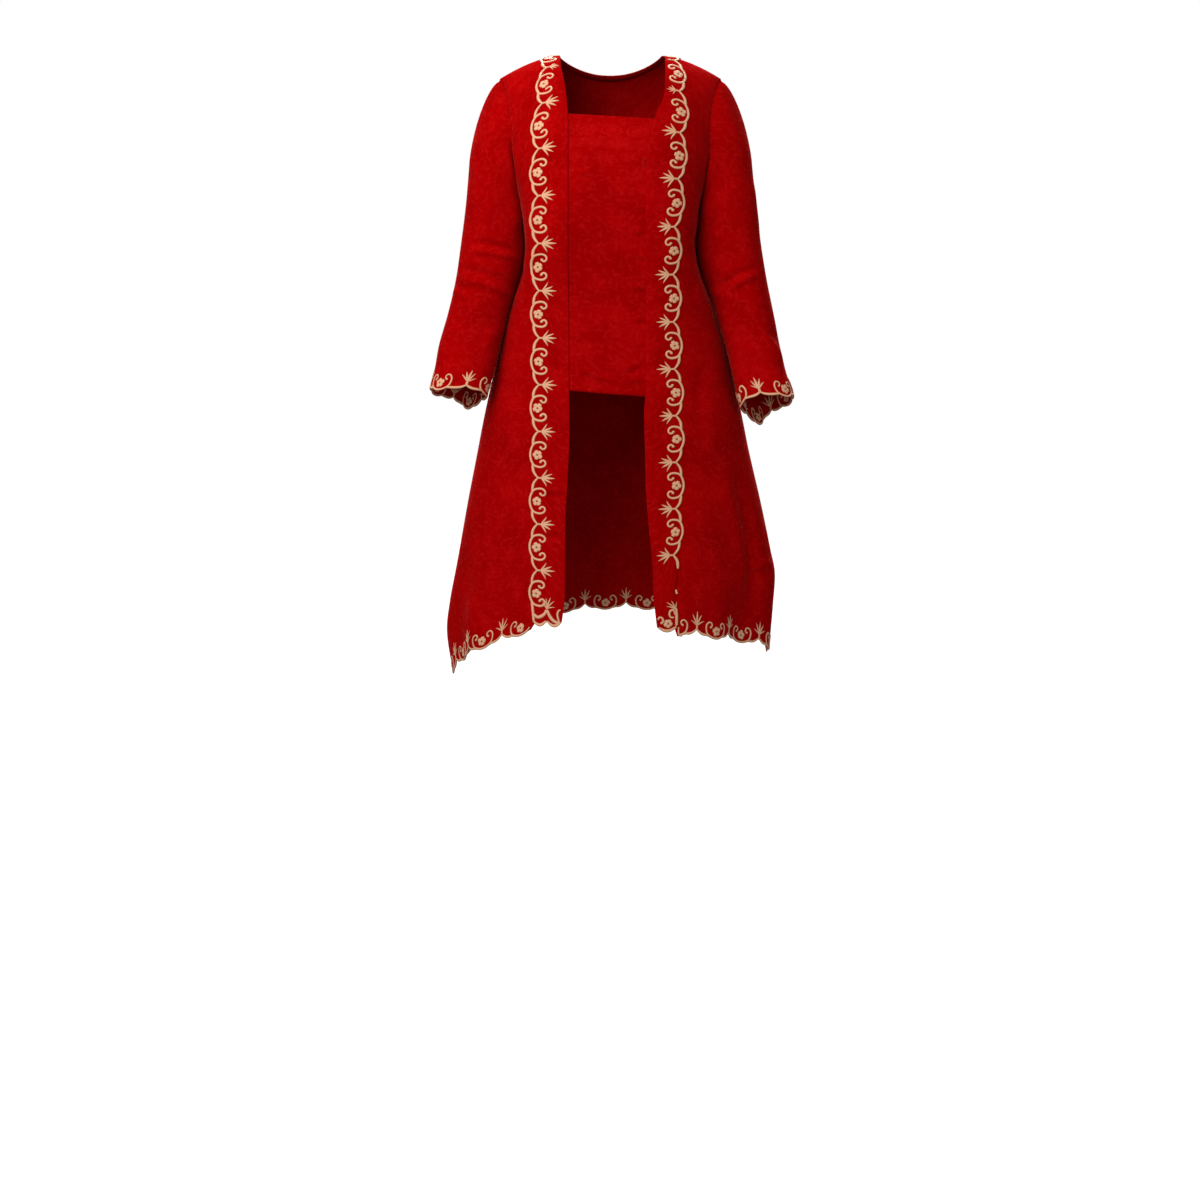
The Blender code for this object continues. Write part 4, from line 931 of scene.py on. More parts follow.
class KebayaThread(PropertyGroup):
    rise: FloatProperty(name="Stitch height", description="How far the satin stitch stands up",
                        default=0.0010, min=0.0002, max=0.003, unit="LENGTH", precision=4)
    gold: FloatVectorProperty(name="Gold", description="Colour of the gold thread", subtype="COLOR",
                              default=linear("#e2ab84"), min=0, max=1)
    # painted shade: the colour that darkens the strokes' edges and the grooves between their stitches
    gold_shade: FloatVectorProperty(name="Gold edge", description="The thread where it dives into the cloth",
                                   subtype="COLOR", default=linear("#8c4f28"), min=0, max=1)
    # darker gold at the flowers' hearts; also the painted shade where a spray's leaves meet
    centre: FloatVectorProperty(name="Flower centre", description="Darker thread of the flowers' centres",
                                subtype="COLOR", default=linear("#8a5024"), min=0, max=1)
    red: FloatVectorProperty(name="Red thread", description="Colour of the fastening loop", subtype="COLOR",
                             default=linear("#a81416"), min=0, max=1)


class KebayaStage(PropertyGroup):
    floor_drop: FloatProperty(name="Floor", description="Floor's depth below the shoulder line", default=2.6,
                              min=0.95, max=3, unit="LENGTH")
    floor: FloatVectorProperty(name="Floor colour", description="Colour of the floor", subtype="COLOR",
                               default=linear("#f2f1f0"), min=0, max=1)
    daylight: FloatProperty(name="Room light", description="Strength of the even light of the room",
                            default=0.42, min=0, max=10)
    key: FloatProperty(name="Key light", description="Power of the soft light above and in front",
                       default=30.5, min=0, max=500, unit="POWER")
    back: FloatProperty(name="Back light", description="Strength of the large soft light behind",
                        default=4.1, min=0, max=20)
    distance: FloatProperty(name="Camera distance", description="How far the camera stands in front",
                            default=2.6, min=1, max=20, unit="LENGTH")
    lens: FloatProperty(name="Lens", description="Focal length", default=53.79, min=10, max=300,
                        unit="CAMERA")
    height: FloatProperty(name="Camera height", description="Camera above the shoulder line",
                          default=-0.26557, min=-3, max=3, unit="LENGTH", precision=4)
    aside: FloatProperty(name="Camera aside", description="Camera out from the middle", default=-0.0145,
                         min=-3, max=3, unit="LENGTH", precision=4)
    tilt: FloatProperty(name="Camera tilt", description="How far the camera looks down", default=0.19277,
                        min=-1, max=1, unit="ROTATION", precision=4)


# ---------------------------------------------------------------- fronts
def front_angles(side, fractions, drops):
    """Angle and drop of each point of a front beside its band, a row for each drop."""
    sign = 1 if side == "left" else -1
    edge = OPENING.read(side, drops) + OPENING.read(side + "_band", drops)
    start = np.abs(angle_at(sign * edge, drops))
    stop = armhole_angle("front", drops)
    follow = ease((drops - FAN_START) / (HEM_UNDER_BAND[side] - FAN_START))
    slope = FRONT_HEM.read(side, np.linspace(0, 1, 97)) - FRONT_HEM.read(side, 0.0)
    ts = np.linspace(0, 1, 97)
    angles, falls = [], []
    for k, drop in enumerate(drops):
        row = torso(sign * (start[k] + (stop[k] - start[k]) * ts), drop + slope * follow[k])
        lengths = lengths_along(row)
        t = np.interp(fractions, lengths / lengths[-1], ts)
        angles.append(sign * (start[k] + (stop[k] - start[k]) * t))
        falls.append(drop + np.interp(t, ts, slope) * follow[k])
    return np.array(angles), np.array(falls)


def front_hem(side):
    """Length of a front's hem from its band, and what turns a length along it into an angle and a drop."""
    sign = 1 if side == "left" else -1
    drop = FRONT_HEM.read(side, 0.0)
    edge = OPENING.read(side, drop) + OPENING.read(side + "_band", drop)
    start = abs(float(angle_at(sign * edge, drop)))
    ts = np.linspace(0, 1, 193)
    angles = sign * (start + (pi / 2 - start) * ts)
    drops = FRONT_HEM.read(side, ts)
    lengths = lengths_along(torso(angles, drops))
    return lengths[-1], lambda along: (np.interp(along, lengths, angles), np.interp(along, lengths, drops))


def make_front(side, cloth, thread):
    sign = 1 if side == "left" else -1
    total, hem_at = front_hem(side)
    fractions = even_fractions(total, FIRST_CUSP[side])
    hem = float(FRONT_HEM.read(side, 0.0))
    drops = rows_of_drops(0.0, hem, ROLL_FRONT, cloth.spacing)
    angles, falls = front_angles(side, fractions, drops)
    # the last rows are drawn down to the scalloped cut edge
    reach = scallop(fractions * total - FIRST_CUSP[side])
    pull = ease((drops - (hem - HEM_PULL)) / HEM_PULL)
    falls = falls + pull[:, None] * reach[None, :]
    under = []
    for k in range(5):
        x = sign * (OPENING.read(side, drops) + FOLD_ROUND
                    + (OPENING.read(side + "_band", drops) - FOLD_ROUND) * k / 5)
        under.append(angle_at(x, drops))
    under = np.array(under).T
    lift = (hem - HEM_UNDER_BAND[side]) * pull
    under_drops = np.broadcast_to((drops - lift)[:, None], under.shape)
    points = body_cloth("front", np.concatenate((under, angles), 1), np.concatenate((under_drops, falls), 1))
    piece = cloth_piece("front_%s_silk" % side, points, (sign * 0.3, -1, 0), silk(cloth), cloth.thickness)

    def place(along, inward):
        angle, drop = hem_at(along)
        return body_cloth("front", angle, drop + SCROLL_BULGE - inward)

    work = Embroidery(place, 0.002, total - 0.0008, thread.rise, SEEDS["front_" + side], both=True,
                      weight=EDGE_WEIGHT)
    work.outward, work.layer = body_outward, cloth.thickness
    edge_repeats(work, FIRST_CUSP[side], 0.0, total, "edge")
    if side == "left":
        # the hem's corner is bound in gold beside the band
        work.start = -0.001
        work.stroke(((0.0013, 0.0135), (0.0012, 0.0095), (0.0013, 0.0060), (0.0020, 0.0030), (0.0040, 0.0018),
                     (0.0075, 0.0020)), (0.0009, 0.0012, 0.0014, 0.0015, 0.0016, 0.0014))
    sewn = work.mesh("front_%s_hem_embroidery" % side, gold(thread))
    dress(piece, "red_jacquard", "front_" + side)
    dress(sewn, "gold_thread")
    return piece, sewn


def edge_repeats(work, first, start, stop, kind):
    """Scrolls, flowers, stems and sprays along an edge."""
    for cusp in repeats(first, start, stop):
        work.scroll(cusp + REPEAT / 2)
        work.stems(cusp)
        work.spray(cusp, kind)


class KEBAYA_OT_fronts(Operator):
    """Make the two fronts and the gold work of their hems"""
    bl_idname = "kebaya.fronts"
    bl_label = "Fronts"

    def execute(self, context):
        cloth, thread = context.scene.kebaya_cloth, context.scene.kebaya_thread
        for side in ("right", "left"):
            piece, sewn = make_front(side, cloth, thread)
            declare(piece)
        return {"FINISHED"}


def declare(piece):
    """Works out the box round a piece's mesh laid flat and its own area, which nothing uses, then applies the
    piece's modifiers.
    """
    mesh = piece.data
    uv = np.empty(len(mesh.loops) * 2, np.float32)
    mesh.uv_layers["cloth"].data.foreach_get("uv", uv)
    uv = uv.reshape(-1, 2)
    size = uv.max(0) - uv.min(0)
    area = sum(face.area for face in mesh.polygons)
    area = min(float(area), float(size[0] * size[1]))
    settle(piece)


# ---------------------------------------------------------------- back
def back_neck_drop(x):
    reach = NECK_BACK_DEPTH * np.sqrt(np.maximum(1 - (x / NECK_SIDE) ** 2, 0))
    return np.where(np.abs(x) < NECK_SIDE, back_drop(x, reach), 0.0)


def back_drop(x, y):
    """The drop at which the back's cloth lies at x and y, on the roll behind the shoulders."""
    drop = np.zeros_like(x)
    for _ in range(5):
        exponent = TORSO.read("square", drop)
        half = np.where(x >= 0, TORSO.read("left", drop), TORSO.read("right", drop))
        share = np.minimum(np.abs(x) / half, 1)
        ring = (1 - share ** exponent) ** (1 / exponent)
        reach = np.minimum(y / (TORSO.read("back", drop) * np.maximum(ring, 1e-6)), 1)
        drop = ROLL_BACK * (1 - np.sqrt(1 - reach ** 2))
    return drop


def back_hem():
    ts = np.linspace(0, 1, 193)
    angles = pi + pi / 2 * (1 - 2 * ts)
    drops = BACK_HEM.read("drop", ts)
    lengths = lengths_along(torso(angles, drops))
    return lengths[-1], lambda along: (np.interp(along, lengths, angles), np.interp(along, lengths, drops))


class KEBAYA_OT_back(Operator):
    """Make the back and the gold work of its hem"""
    bl_idname = "kebaya.back"
    bl_label = "Back"

    def execute(self, context):
        cloth, thread = context.scene.kebaya_cloth, context.scene.kebaya_thread
        total, hem_at = back_hem()
        fractions = even_fractions(total, FIRST_CUSP["back"])
        hem = float(BACK_HEM.read("drop", 0.5))
        drops = rows_of_drops(0.0, hem, ROLL_BACK, cloth.spacing)
        follow = ease((drops - FAN_START) / (hem - FAN_START))
        ts = np.linspace(0, 1, 193)
        slope = BACK_HEM.read("drop", ts) - hem
        angles, falls = [], []
        for k, drop in enumerate(drops):
            half = float(armhole_angle("back", drop))
            angle = pi + half * (1 - 2 * ts)
            fall = drop + slope * follow[k]
            fall = fall + back_neck_drop(torso(angle, drop)[:, 0]) * max(1 - drop / ROLL_FRONT, 0)
            lengths = lengths_along(torso(angle, fall))
            t = np.interp(fractions, lengths / lengths[-1], ts)
            angles.append(pi + half * (1 - 2 * t))
            falls.append(np.interp(t, ts, fall))
        falls = np.array(falls) + ease((drops - (hem - HEM_PULL)) / HEM_PULL)[:, None] \
            * scallop(fractions * total - FIRST_CUSP["back"])[None, :]
        points = body_cloth("back", np.array(angles), falls)
        piece = cloth_piece("back_silk", points, (0, 1, 0), silk(cloth), cloth.thickness)

        def place(along, inward):
            angle, drop = hem_at(along)
            return body_cloth("back", angle, drop + SCROLL_BULGE - inward)

        work = Embroidery(place, 0.0008, total - 0.0008, thread.rise, SEEDS["back"], both=True,
                          weight=EDGE_WEIGHT)
        work.outward, work.layer = body_outward, cloth.thickness
        edge_repeats(work, FIRST_CUSP["back"], 0.0, total, "edge")
        sewn = work.mesh("back_hem_embroidery", gold(thread))
        dress(piece, "red_jacquard", "back")
        dress(sewn, "gold_thread")
        declare(piece)
        return {"FINISHED"}


# ---------------------------------------------------------------- bands
def band_lengths(side):
    """Drops down a band and the lengths along it at which they lie."""
    sign = 1 if side == "left" else -1
    drops = np.concatenate((ROLL_FRONT * (1 - np.cos(np.linspace(0, pi / 2, 60))),
                            np.linspace(ROLL_FRONT, 0.80, 400)[1:]))
    x = sign * (OPENING.read(side, drops) + OPENING.read(side + "_band", drops) / 3)
    lengths = lengths_along(torso(angle_at(x, drops), drops))
    return drops, lengths


def turned(side, height):
    """How far the band's outer edge is turned under at a height, from 0 to 1."""
    if not TURNED_UNDER[side]:
        return np.zeros_like(height)
    upper, lower = TURNED_UNDER[side]
    return ease((upper - height) / TURNED_FADE + 1) * ease((height - lower) / TURNED_FADE + 1)


def band_edge(side, along, cusp, height):
    """How far in from the lobes' line the band's cut edge lies."""
    plain = SCROLL_BULGE - scallop(along - cusp)
    plain = plain + (TURNED_DEPTH - plain) * turned(side, height)
    if FOOT[side]:
        upper, depth = FOOT[side]
        plain = plain + (depth - plain) * ease((upper - height) / FOOT_FADE)
    return plain


def folded_edge(turn):
    """How high a band lies on its underside and round the fold at its opening edge."""
    middle, half = (FOLD_TOP - BAND_UNDER) / 2, (FOLD_TOP + BAND_UNDER) / 2
    return np.concatenate(([-BAND_UNDER] * 2, middle + half * np.sin(turn)))


def face_rise(out):
    """How high a band's face lies at a distance from its opening edge."""
    return FOLD_TOP + (BAND_LIFT - FOLD_TOP) * ease(out / FACE_RUN)


def make_band(side, cloth, thread):
    sign = 1 if side == "left" else -1
    drops, lengths = band_lengths(side)
    cusp = float(np.interp(-BAND_CUSP_HEIGHT[side], drops, lengths))
    bottom = float(np.interp(BAND_BOTTOM[side], drops, lengths))
    step = REPEAT / 36
    rows = int(bottom / step)
    alongs = np.linspace(0, bottom, rows + 1)
    row_drops = np.interp(alongs, lengths, drops)
    opening = OPENING.read(side, row_drops)
    width = OPENING.read(side + "_band", row_drops)
    cut = width - band_edge(side, alongs, cusp, -row_drops)
    columns = 15
    share = np.linspace(0, 1, columns)
    # the band's underside, then the round fold at the opening edge, then its face out to the cut edge
    turn = np.linspace(-pi / 2, pi / 2, 7)
    fold_x = np.concatenate(([0.010, 0.005], FOLD_ROUND * (1 - np.cos(turn))))
    fold_lift = folded_edge(turn)
    face_x = FOLD_ROUND + (cut[:, None] - FOLD_ROUND) * share[None, 1:]
    x = np.concatenate((np.broadcast_to(fold_x, (len(alongs), len(fold_x))), face_x), 1)
    # the face comes down to the front where its edge is turned under
    flush = turned(side, -row_drops)[:, None] * ease((face_x - cut[:, None]) / FLUSH_RUN + 1) \
        * (BAND_LIFT - 0.0001)
    lift = np.concatenate((np.broadcast_to(fold_lift, (len(alongs), len(fold_lift))),
                           face_rise(face_x) - flush), 1)
    x = sign * (opening[:, None] + x)
    drop = np.broadcast_to(row_drops[:, None], x.shape)
    # the lobes of the band's bottom
    lobes = BAND_BOTTOM_LOBES[side]
    part = np.clip((np.abs(x) - opening[:, None]) / cut[:, None], 0, 1)
    bulge = CLOTH + BAND_BOTTOM_BULGE * np.abs(np.sin(pi * lobes * part))
    drop = drop + ease((alongs - (bottom - 0.02)) / 0.02)[:, None] * bulge
    points = body_cloth("front", angle_at(x, drop), drop, lift)
    piece = cloth_piece("band_%s_silk" % side, points, (0, -1, 0), silk(cloth), cloth.thickness * BAND_WALL)

    def place(along, inward):
        drop = np.interp(along, lengths, drops)
        x = sign * (OPENING.read(side, drop) + OPENING.read(side + "_band", drop) - inward)
        out = np.abs(x) - OPENING.read(side, drop)
        return body_cloth("front", angle_at(x, drop), drop, face_rise(out))

    def width_at(along):
        return OPENING.read(side + "_band", np.interp(along, lengths, drops)) - 0.0012

    under = TURNED_UNDER[side]
    work = Embroidery(place, 0.0030, bottom + 0.002, thread.rise, SEEDS["band_" + side],
                      reach=width_at)
    work.outward, work.layer = body_outward, cloth.thickness * BAND_WALL
    stop = float(np.interp(-under[0], drops, lengths)) if under else bottom
    if FOOT[side]:
        along = np.linspace(float(np.interp(-FOOT[side][0], drops, lengths)) + 0.006, bottom + 0.0015, 25)
        edge = band_edge(side, along, cusp, -np.interp(along, lengths, drops))
        work.stroke(np.stack((along, edge + 0.0021), -1), np.full(25, 0.0021))
        stop = bottom - REPEAT / 4
    for at in repeats(cusp, 0.0, stop):
        if at + REPEAT * 0.55 < stop or not under:
            work.scroll(at + REPEAT / 2)
        if 0 < at < stop:
            work.stems(at)
            room = float(width_at(at)) - SPRAY_BASE - 0.001
            work.spray(at, "band", share=min(room / SPRAY_REACH, 1.0))

    def foot(across, up):
        x = sign * (float(OPENING.read(side, BAND_BOTTOM[side])) + across)
        drop = BAND_BOTTOM[side] + CLOTH + BAND_BOTTOM_BULGE - up
        return body_cloth("front", angle_at(x, drop), drop, face_rise(across))

    end = Embroidery(foot, 0.0010, float(cut[-1]) - 0.0010, thread.rise, SEEDS["foot"])
    end.outward, end.layer = work.outward, work.layer
    band_foot(end, side, lobes, float(cut[-1]))
    work.take(end)
    sewn = work.mesh("band_%s_embroidery" % side, gold(thread))
    dress(piece, "red_jacquard", "band_" + side)
    dress(sewn, "gold_thread")
    return piece, sewn


def band_foot(work, side, lobes, cut):
    """The gold work at the bottom of a band, whose places are lengths out from its opening edge and up
    from the line of its lobes."""
    lobe = cut / lobes
    for k in range(lobes):
        t = np.linspace(0.03, 0.97, 21)
        across = lobe * (k + t)
        half = 0.0011 + 0.0012 * np.sin(pi * t)
        edge = BAND_BOTTOM_BULGE * (1 - np.sin(pi * t))
        work.stroke(np.stack((across, edge + half), -1), half)
    for kind, *sizes in BAND_FOOT[side]:
        if kind == "spray":
            across, up, share, lean = sizes
            work.spray(across / 1000, "edge", lean, up / 1000, share)
        elif kind == "flower":
            work.flower(*(size / 1000 for size in sizes))
        else:
            places = Table("at across up", *((k, *place) for k, place in enumerate(sizes[3:])))
            at = np.linspace(0, len(sizes) - 4, 28)
            half = np.interp(at, (0, at[-1] / 2, at[-1]), sizes[:3]) / 1000
            half[0], half[-1] = half[0] * 0.6, half[-1] * 0.6
            work.stroke(np.stack((places.read("across", at), places.read("up", at)), -1) / 1000, half)


class KEBAYA_OT_bands(Operator):
    """Make the two front bands and their gold work"""
    bl_idname = "kebaya.bands"
    bl_label = "Front bands"

    def execute(self, context):
        cloth, thread = context.scene.kebaya_cloth, context.scene.kebaya_thread
        for side in ("right", "left"):
            piece, sewn = make_band(side, cloth, thread)
            declare(piece)
        return {"FINISHED"}


class KEBAYA_OT_neck_band(Operator):
    """Make the band round the back of the neck and its gold work"""
    bl_idname = "kebaya.neck_band"
    bl_label = "Neck band"

    def execute(self, context):
        cloth, thread = context.scene.kebaya_cloth, context.scene.kebaya_thread
        total = REPEAT * NECK_BAND_LOBES

        def place(along, inward, lift=None):
            turn = pi * along / total
            out = NECK_BAND_WIDTH - inward
            lift = face_rise(out) if lift is None else lift
            x = -(NECK_SIDE + out) * np.cos(turn)
            y = np.maximum((NECK_BACK_DEPTH + out) * np.sin(turn), 0)
            drop = back_drop(x, y)
            return body_cloth("back", pi - angle_at(x, drop), drop, lift)

        alongs = np.linspace(0, total, NECK_BAND_LOBES * 32 + 1)
        outs = np.linspace(0, 1, 13)[None, :] * (NECK_BAND_WIDTH - SCROLL_BULGE + scallop(alongs))[:, None]
        turn = np.linspace(-pi / 2, pi / 2, 7)
        fold = np.concatenate(([0.008, 0.004], FOLD_ROUND * (1 - np.cos(turn))))
        fold_lift = folded_edge(turn)
        outs = np.concatenate((np.broadcast_to(fold, (len(alongs), len(fold))),
                               FOLD_ROUND + (outs - FOLD_ROUND).clip(0)[:, 2:]), 1)
        lift = np.concatenate((np.broadcast_to(fold_lift, (len(alongs), len(fold_lift))),
                               face_rise(outs[:, len(fold):])), 1)
        points = place(alongs[:, None], NECK_BAND_WIDTH - outs, lift)
        piece = cloth_piece("neck_band_silk", points, (0, 1, 0.5), silk(cloth), cloth.thickness * BAND_WALL)
        work = Embroidery(place, 0.0020, total - 0.0020, thread.rise, SEEDS["neck_band"],
                          reach=lambda along: np.full_like(along, NECK_BAND_WIDTH - 0.0012))
        work.outward, work.layer = body_outward, cloth.thickness * BAND_WALL
        for cusp in repeats(0.0, 0.0, total):
            work.scroll(cusp + REPEAT / 2)
            if 0 < cusp < total:
                work.stems(cusp)
                work.spray(cusp, "band", share=(NECK_BAND_WIDTH - SPRAY_BASE - 0.001) / SPRAY_REACH)
        sewn = work.mesh("neck_band_embroidery", gold(thread))
        dress(piece, "red_jacquard", "neck_band")
        dress(sewn, "gold_thread")
        declare(piece)
        return {"FINISHED"}


# ---------------------------------------------------------------- centre panel
class KEBAYA_OT_centre_panel(Operator):
    """Make the panel between the fronts"""
    bl_idname = "kebaya.centre_panel"
    bl_label = "Centre panel"

    def execute(self, context):
        cloth = context.scene.kebaya_cloth
        shares = np.linspace(0, 1, int(PANEL_LENGTH / cloth.spacing * 1.3))
        right = PANEL_TOP["right"] + (PANEL_BOTTOM["right"] - PANEL_TOP["right"]) * shares
        left = PANEL_TOP["left"] + (PANEL_BOTTOM["left"] - PANEL_TOP["left"]) * shares
        out = np.linspace(0, 1, 40)[None, :]
        x = (-(OPENING.read("right", right) + PANEL_UNDERLAP))[:, None] * (1 - out) \
            + (OPENING.read("left", left) + PANEL_UNDERLAP)[:, None] * out
        drop = right[:, None] * (1 - out) + left[:, None] * out
        points = torso(angle_at(x, drop), drop)
        normals = torso_normal(angle_at(x, drop), drop)
        push = crease_push("panel", points[..., 0], points[..., 2])
        # flat under the fronts
        push *= ease((x + OPENING.read("right", drop)) / 0.004 + 0.5)
        push *= ease((OPENING.read("left", drop) - x) / 0.004 + 0.5)
        edge = np.minimum(shares, 1 - shares)[:, None] * PANEL_LENGTH
        hem = -0.0004 * np.exp(-((edge - 0.014) / 0.0012) ** 2)      # the line of stitches of its hems
        inside = BAND_UNDER + 0.0002
        points = points + normals * (push + hem - inside)[..., None]
        points[..., 1] -= SEAM / 2
        piece = cloth_piece("centre_panel_silk", points, (0, -1, 0), silk(cloth, border=True),
                            cloth.thickness * BAND_WALL)
        dress(piece, "red_jacquard", "centre_panel")
        declare(piece)
        return {"FINISHED"}


# ---------------------------------------------------------------- sleeves
def armhole_loop(side, turns):
    """Points of the armhole at turns round the sleeve from the underarm, up the front, over the shoulder
    tip and down the back, each with the direction that leads off the body cloth into the hole."""
    sign = 1 if side == "left" else -1
    drops = UNDERARM_DROP * (1 - np.cos(np.linspace(0, pi, 161))) / 2
    halves = []
    for face in ("front", "back"):
        angle = armhole_angle(face, drops)
        if face == "back":
            angle = pi - angle
        angle = sign * angle
        row = torso(angle, drops)
        halves.append((angle, lengths_along(row)))
    angles, at = [], []
    for turn in turns:
        angle, lengths = halves[0] if turn <= 0.5 else halves[1]
        share = 1 - 2 * turn if turn <= 0.5 else 2 * turn - 1
        angles.append(np.interp(share * lengths[-1], lengths, angle))
        at.append(np.interp(share * lengths[-1], lengths, drops))
    angles, at = np.array(angles), np.array(at)
    points = torso(angles, at)
    normals = torso_normal(angles, at)
    tangent = np.roll(points, -1, 0) - np.roll(points, 1, 0)
    lead = unit(np.cross(normals, tangent))
    middle = points.mean(0)
    lead *= np.where(np.sum(lead * (middle - points), -1) < 0, -1, 1)[:, None]
    return points, normals, lead


def sleeve_ring(side, ring, turn):
    """Points of a sleeve's rings; turn 0 is the inner edge, a quarter the front, a half the outer."""
    sign = 1 if side == "left" else -1
    table = SLEEVES[side]
    value = {name: table.read(name, ring) for name in table.names[1:]}
    curve = 2 / SLEEVE_SQUARE
    inner = power(np.cos(2 * pi * turn), curve)
    front = power(np.sin(2 * pi * turn), curve)
    out = (1 - inner) / 2
    x = value["inner_x"] + (value["outer_x"] - value["inner_x"]) * out \
        - value["lean"] * front * np.maximum(inner, 0)
    z = value["inner_z"] + (value["outer_z"] - value["inner_z"]) * out
    rise = value["front_rise"] * front * (1 + INNER_RISE * inner)
    return np.stack((sign * x, value["mid_y"] - value["half_depth"] * front, z + rise), -1)


def cap_points(side, start, turn, t):
    """A row of the sleeve's cap, from the armhole to the sleeve's first ring."""
    end = sleeve_ring(side, 0.0, turn)
    out = sin(pi / 2 * t) ** (2 / CAP_ROUND)
    fall = 1 - cos(pi / 2 * t) ** (2 / CAP_ROUND)
    low = ease((-start[:, 2] - UNDERARM_DROP / 2) / (UNDERARM_DROP / 2))
    fold = np.sign(start[:, 0]) * UNDERARM_FOLD * low * sin(pi * t)
    return np.stack((start[:, 0] + (end[:, 0] - start[:, 0]) * out + fold,
                     start[:, 1] + (end[:, 1] - start[:, 1]) * t,
                     start[:, 2] + (end[:, 2] - start[:, 2]) * fall), -1)


def make_sleeve(side, cloth, thread):
    sign = 1 if side == "left" else -1
    columns = CUFF_REPEATS * 32
    turns = (np.arange(columns) / columns + CUFF_PHASE / CUFF_REPEATS) % 1.0
    turns = np.roll(turns, -int(np.argmin(turns)))
    points, normals, lead = armhole_loop(side, turns)
    rows = [points + lead * 0.0003 - normals * 0.0004]
    start = points + lead * SLEEVE_LIP
    rows += [cap_points(side, start, turns, t) for t in (1 - np.cos(np.linspace(0, pi / 2, 17)[:-1])) ** 0.85]
    rings = np.linspace(0, LAST_RING, 92)
    rows += [sleeve_ring(side, ring, turns) for ring in rings]
    last = sleeve_ring(side, float(LAST_RING), turns)
    run = unit(sleeve_ring(side, LAST_RING, 0.25) - sleeve_ring(side, LAST_RING - 0.5, 0.25))
    depth = CUFF_STRIP + cuff_sag(turns) + scallop(turns * CUFF_REPEATS * REPEAT - CUFF_PHASE * REPEAT)
    rows += [last + run * (depth * share)[:, None] for share in (0.25, 0.5, 0.75, 1.0)]
    points = np.array(rows)
    ahead = np.roll(points, -1, 1) - np.roll(points, 1, 1)
    down = np.gradient(points, axis=0)
    outward = unit(np.cross(down, ahead)) * -sign
    for face, chosen in (("front", turns < 0.5), ("back", turns >= 0.5)):
        push = crease_push("sleeve_%s_%s" % (side, face), points[..., 0], points[..., 2])
        points = points + outward * (push * chosen * sleeve_fade(len(rows), turns))[..., None]
    middle = points[len(rows) // 2].mean(0)
    facing = points[len(rows) // 2, columns // 3] - middle
    piece = cloth_piece("sleeve_%s_silk" % side, points, facing, silk(cloth), cloth.thickness, closed=True,
                        from_hem=True)

    def place(along, inward):
        turn = (along / (CUFF_REPEATS * REPEAT)) % 1.0
        beyond = CUFF_STRIP + cuff_sag(turn) + SCROLL_BULGE - inward
        quarter = np.linspace(LAST_RING - 3, LAST_RING, 40)
        lengths = lengths_along(sleeve_ring(side, quarter, 0.25))
        ring = np.interp(lengths[-1] + np.minimum(beyond, 0), lengths, quarter)
        return sleeve_ring(side, ring, turn) + run * np.maximum(beyond, 0)[..., None]

    def outward_of(at):
        return at - last.mean(0)

    def narrow_at(along):
        step = sleeve_ring(side, float(LAST_RING),
                           (along + np.array((-0.004, 0.004))) / (CUFF_REPEATS * REPEAT))
        return 0.008 / float(np.linalg.norm(step[1] - step[0]))

    total = CUFF_REPEATS * REPEAT
    work = Embroidery(place, -REPEAT, total + REPEAT, thread.rise, SEEDS["cuff_" + side], both=True,
                      weight=EDGE_WEIGHT)
    work.narrow = narrow_at
    work.outward, work.layer = outward_of, cloth.thickness
    for k in range(CUFF_REPEATS):
        cusp = CUFF_PHASE * REPEAT + k * REPEAT
        work.scroll(cusp + REPEAT / 2)
        work.stems(cusp)
        work.spray(cusp, "cuff", -11.0)
    sewn = work.mesh("cuff_%s_embroidery" % side, gold(thread))
    dress(piece, "red_jacquard", "sleeve_" + side)
    dress(sewn, "gold_thread")
    return piece, sewn


def cuff_sag(turn):
    """How much lower a cuff's cut edge hangs in front, and at its cusps in front and behind."""
    along = turn * CUFF_REPEATS - CUFF_PHASE
    from_cusp = REPEAT * np.abs((along + 0.5) % 1 - 0.5)
    front = np.sin(2 * pi * turn)
    return np.maximum(front, 0) * CUFF_SAG + np.abs(front) * CUFF_FILL * np.exp(-(from_cusp / 0.009) ** 2)


def sleeve_fade(rows, turns):
    """Creases fade out where the front and the back of a sleeve meet, and at the armhole's seam."""
    return ease(np.abs(np.sin(2 * pi * turns)) * 2.2)[None, :] * ease((np.arange(rows) - 1) / 9)[:, None]


class KEBAYA_OT_sleeves(Operator):
    """Make the two sleeves and the gold work of their cuffs"""
    bl_idname = "kebaya.sleeves"
    bl_label = "Sleeves"

    def execute(self, context):
        cloth, thread = context.scene.kebaya_cloth, context.scene.kebaya_thread
        for side in ("right", "left"):
            piece, sewn = make_sleeve(side, cloth, thread)
            declare(piece)
        return {"FINISHED"}


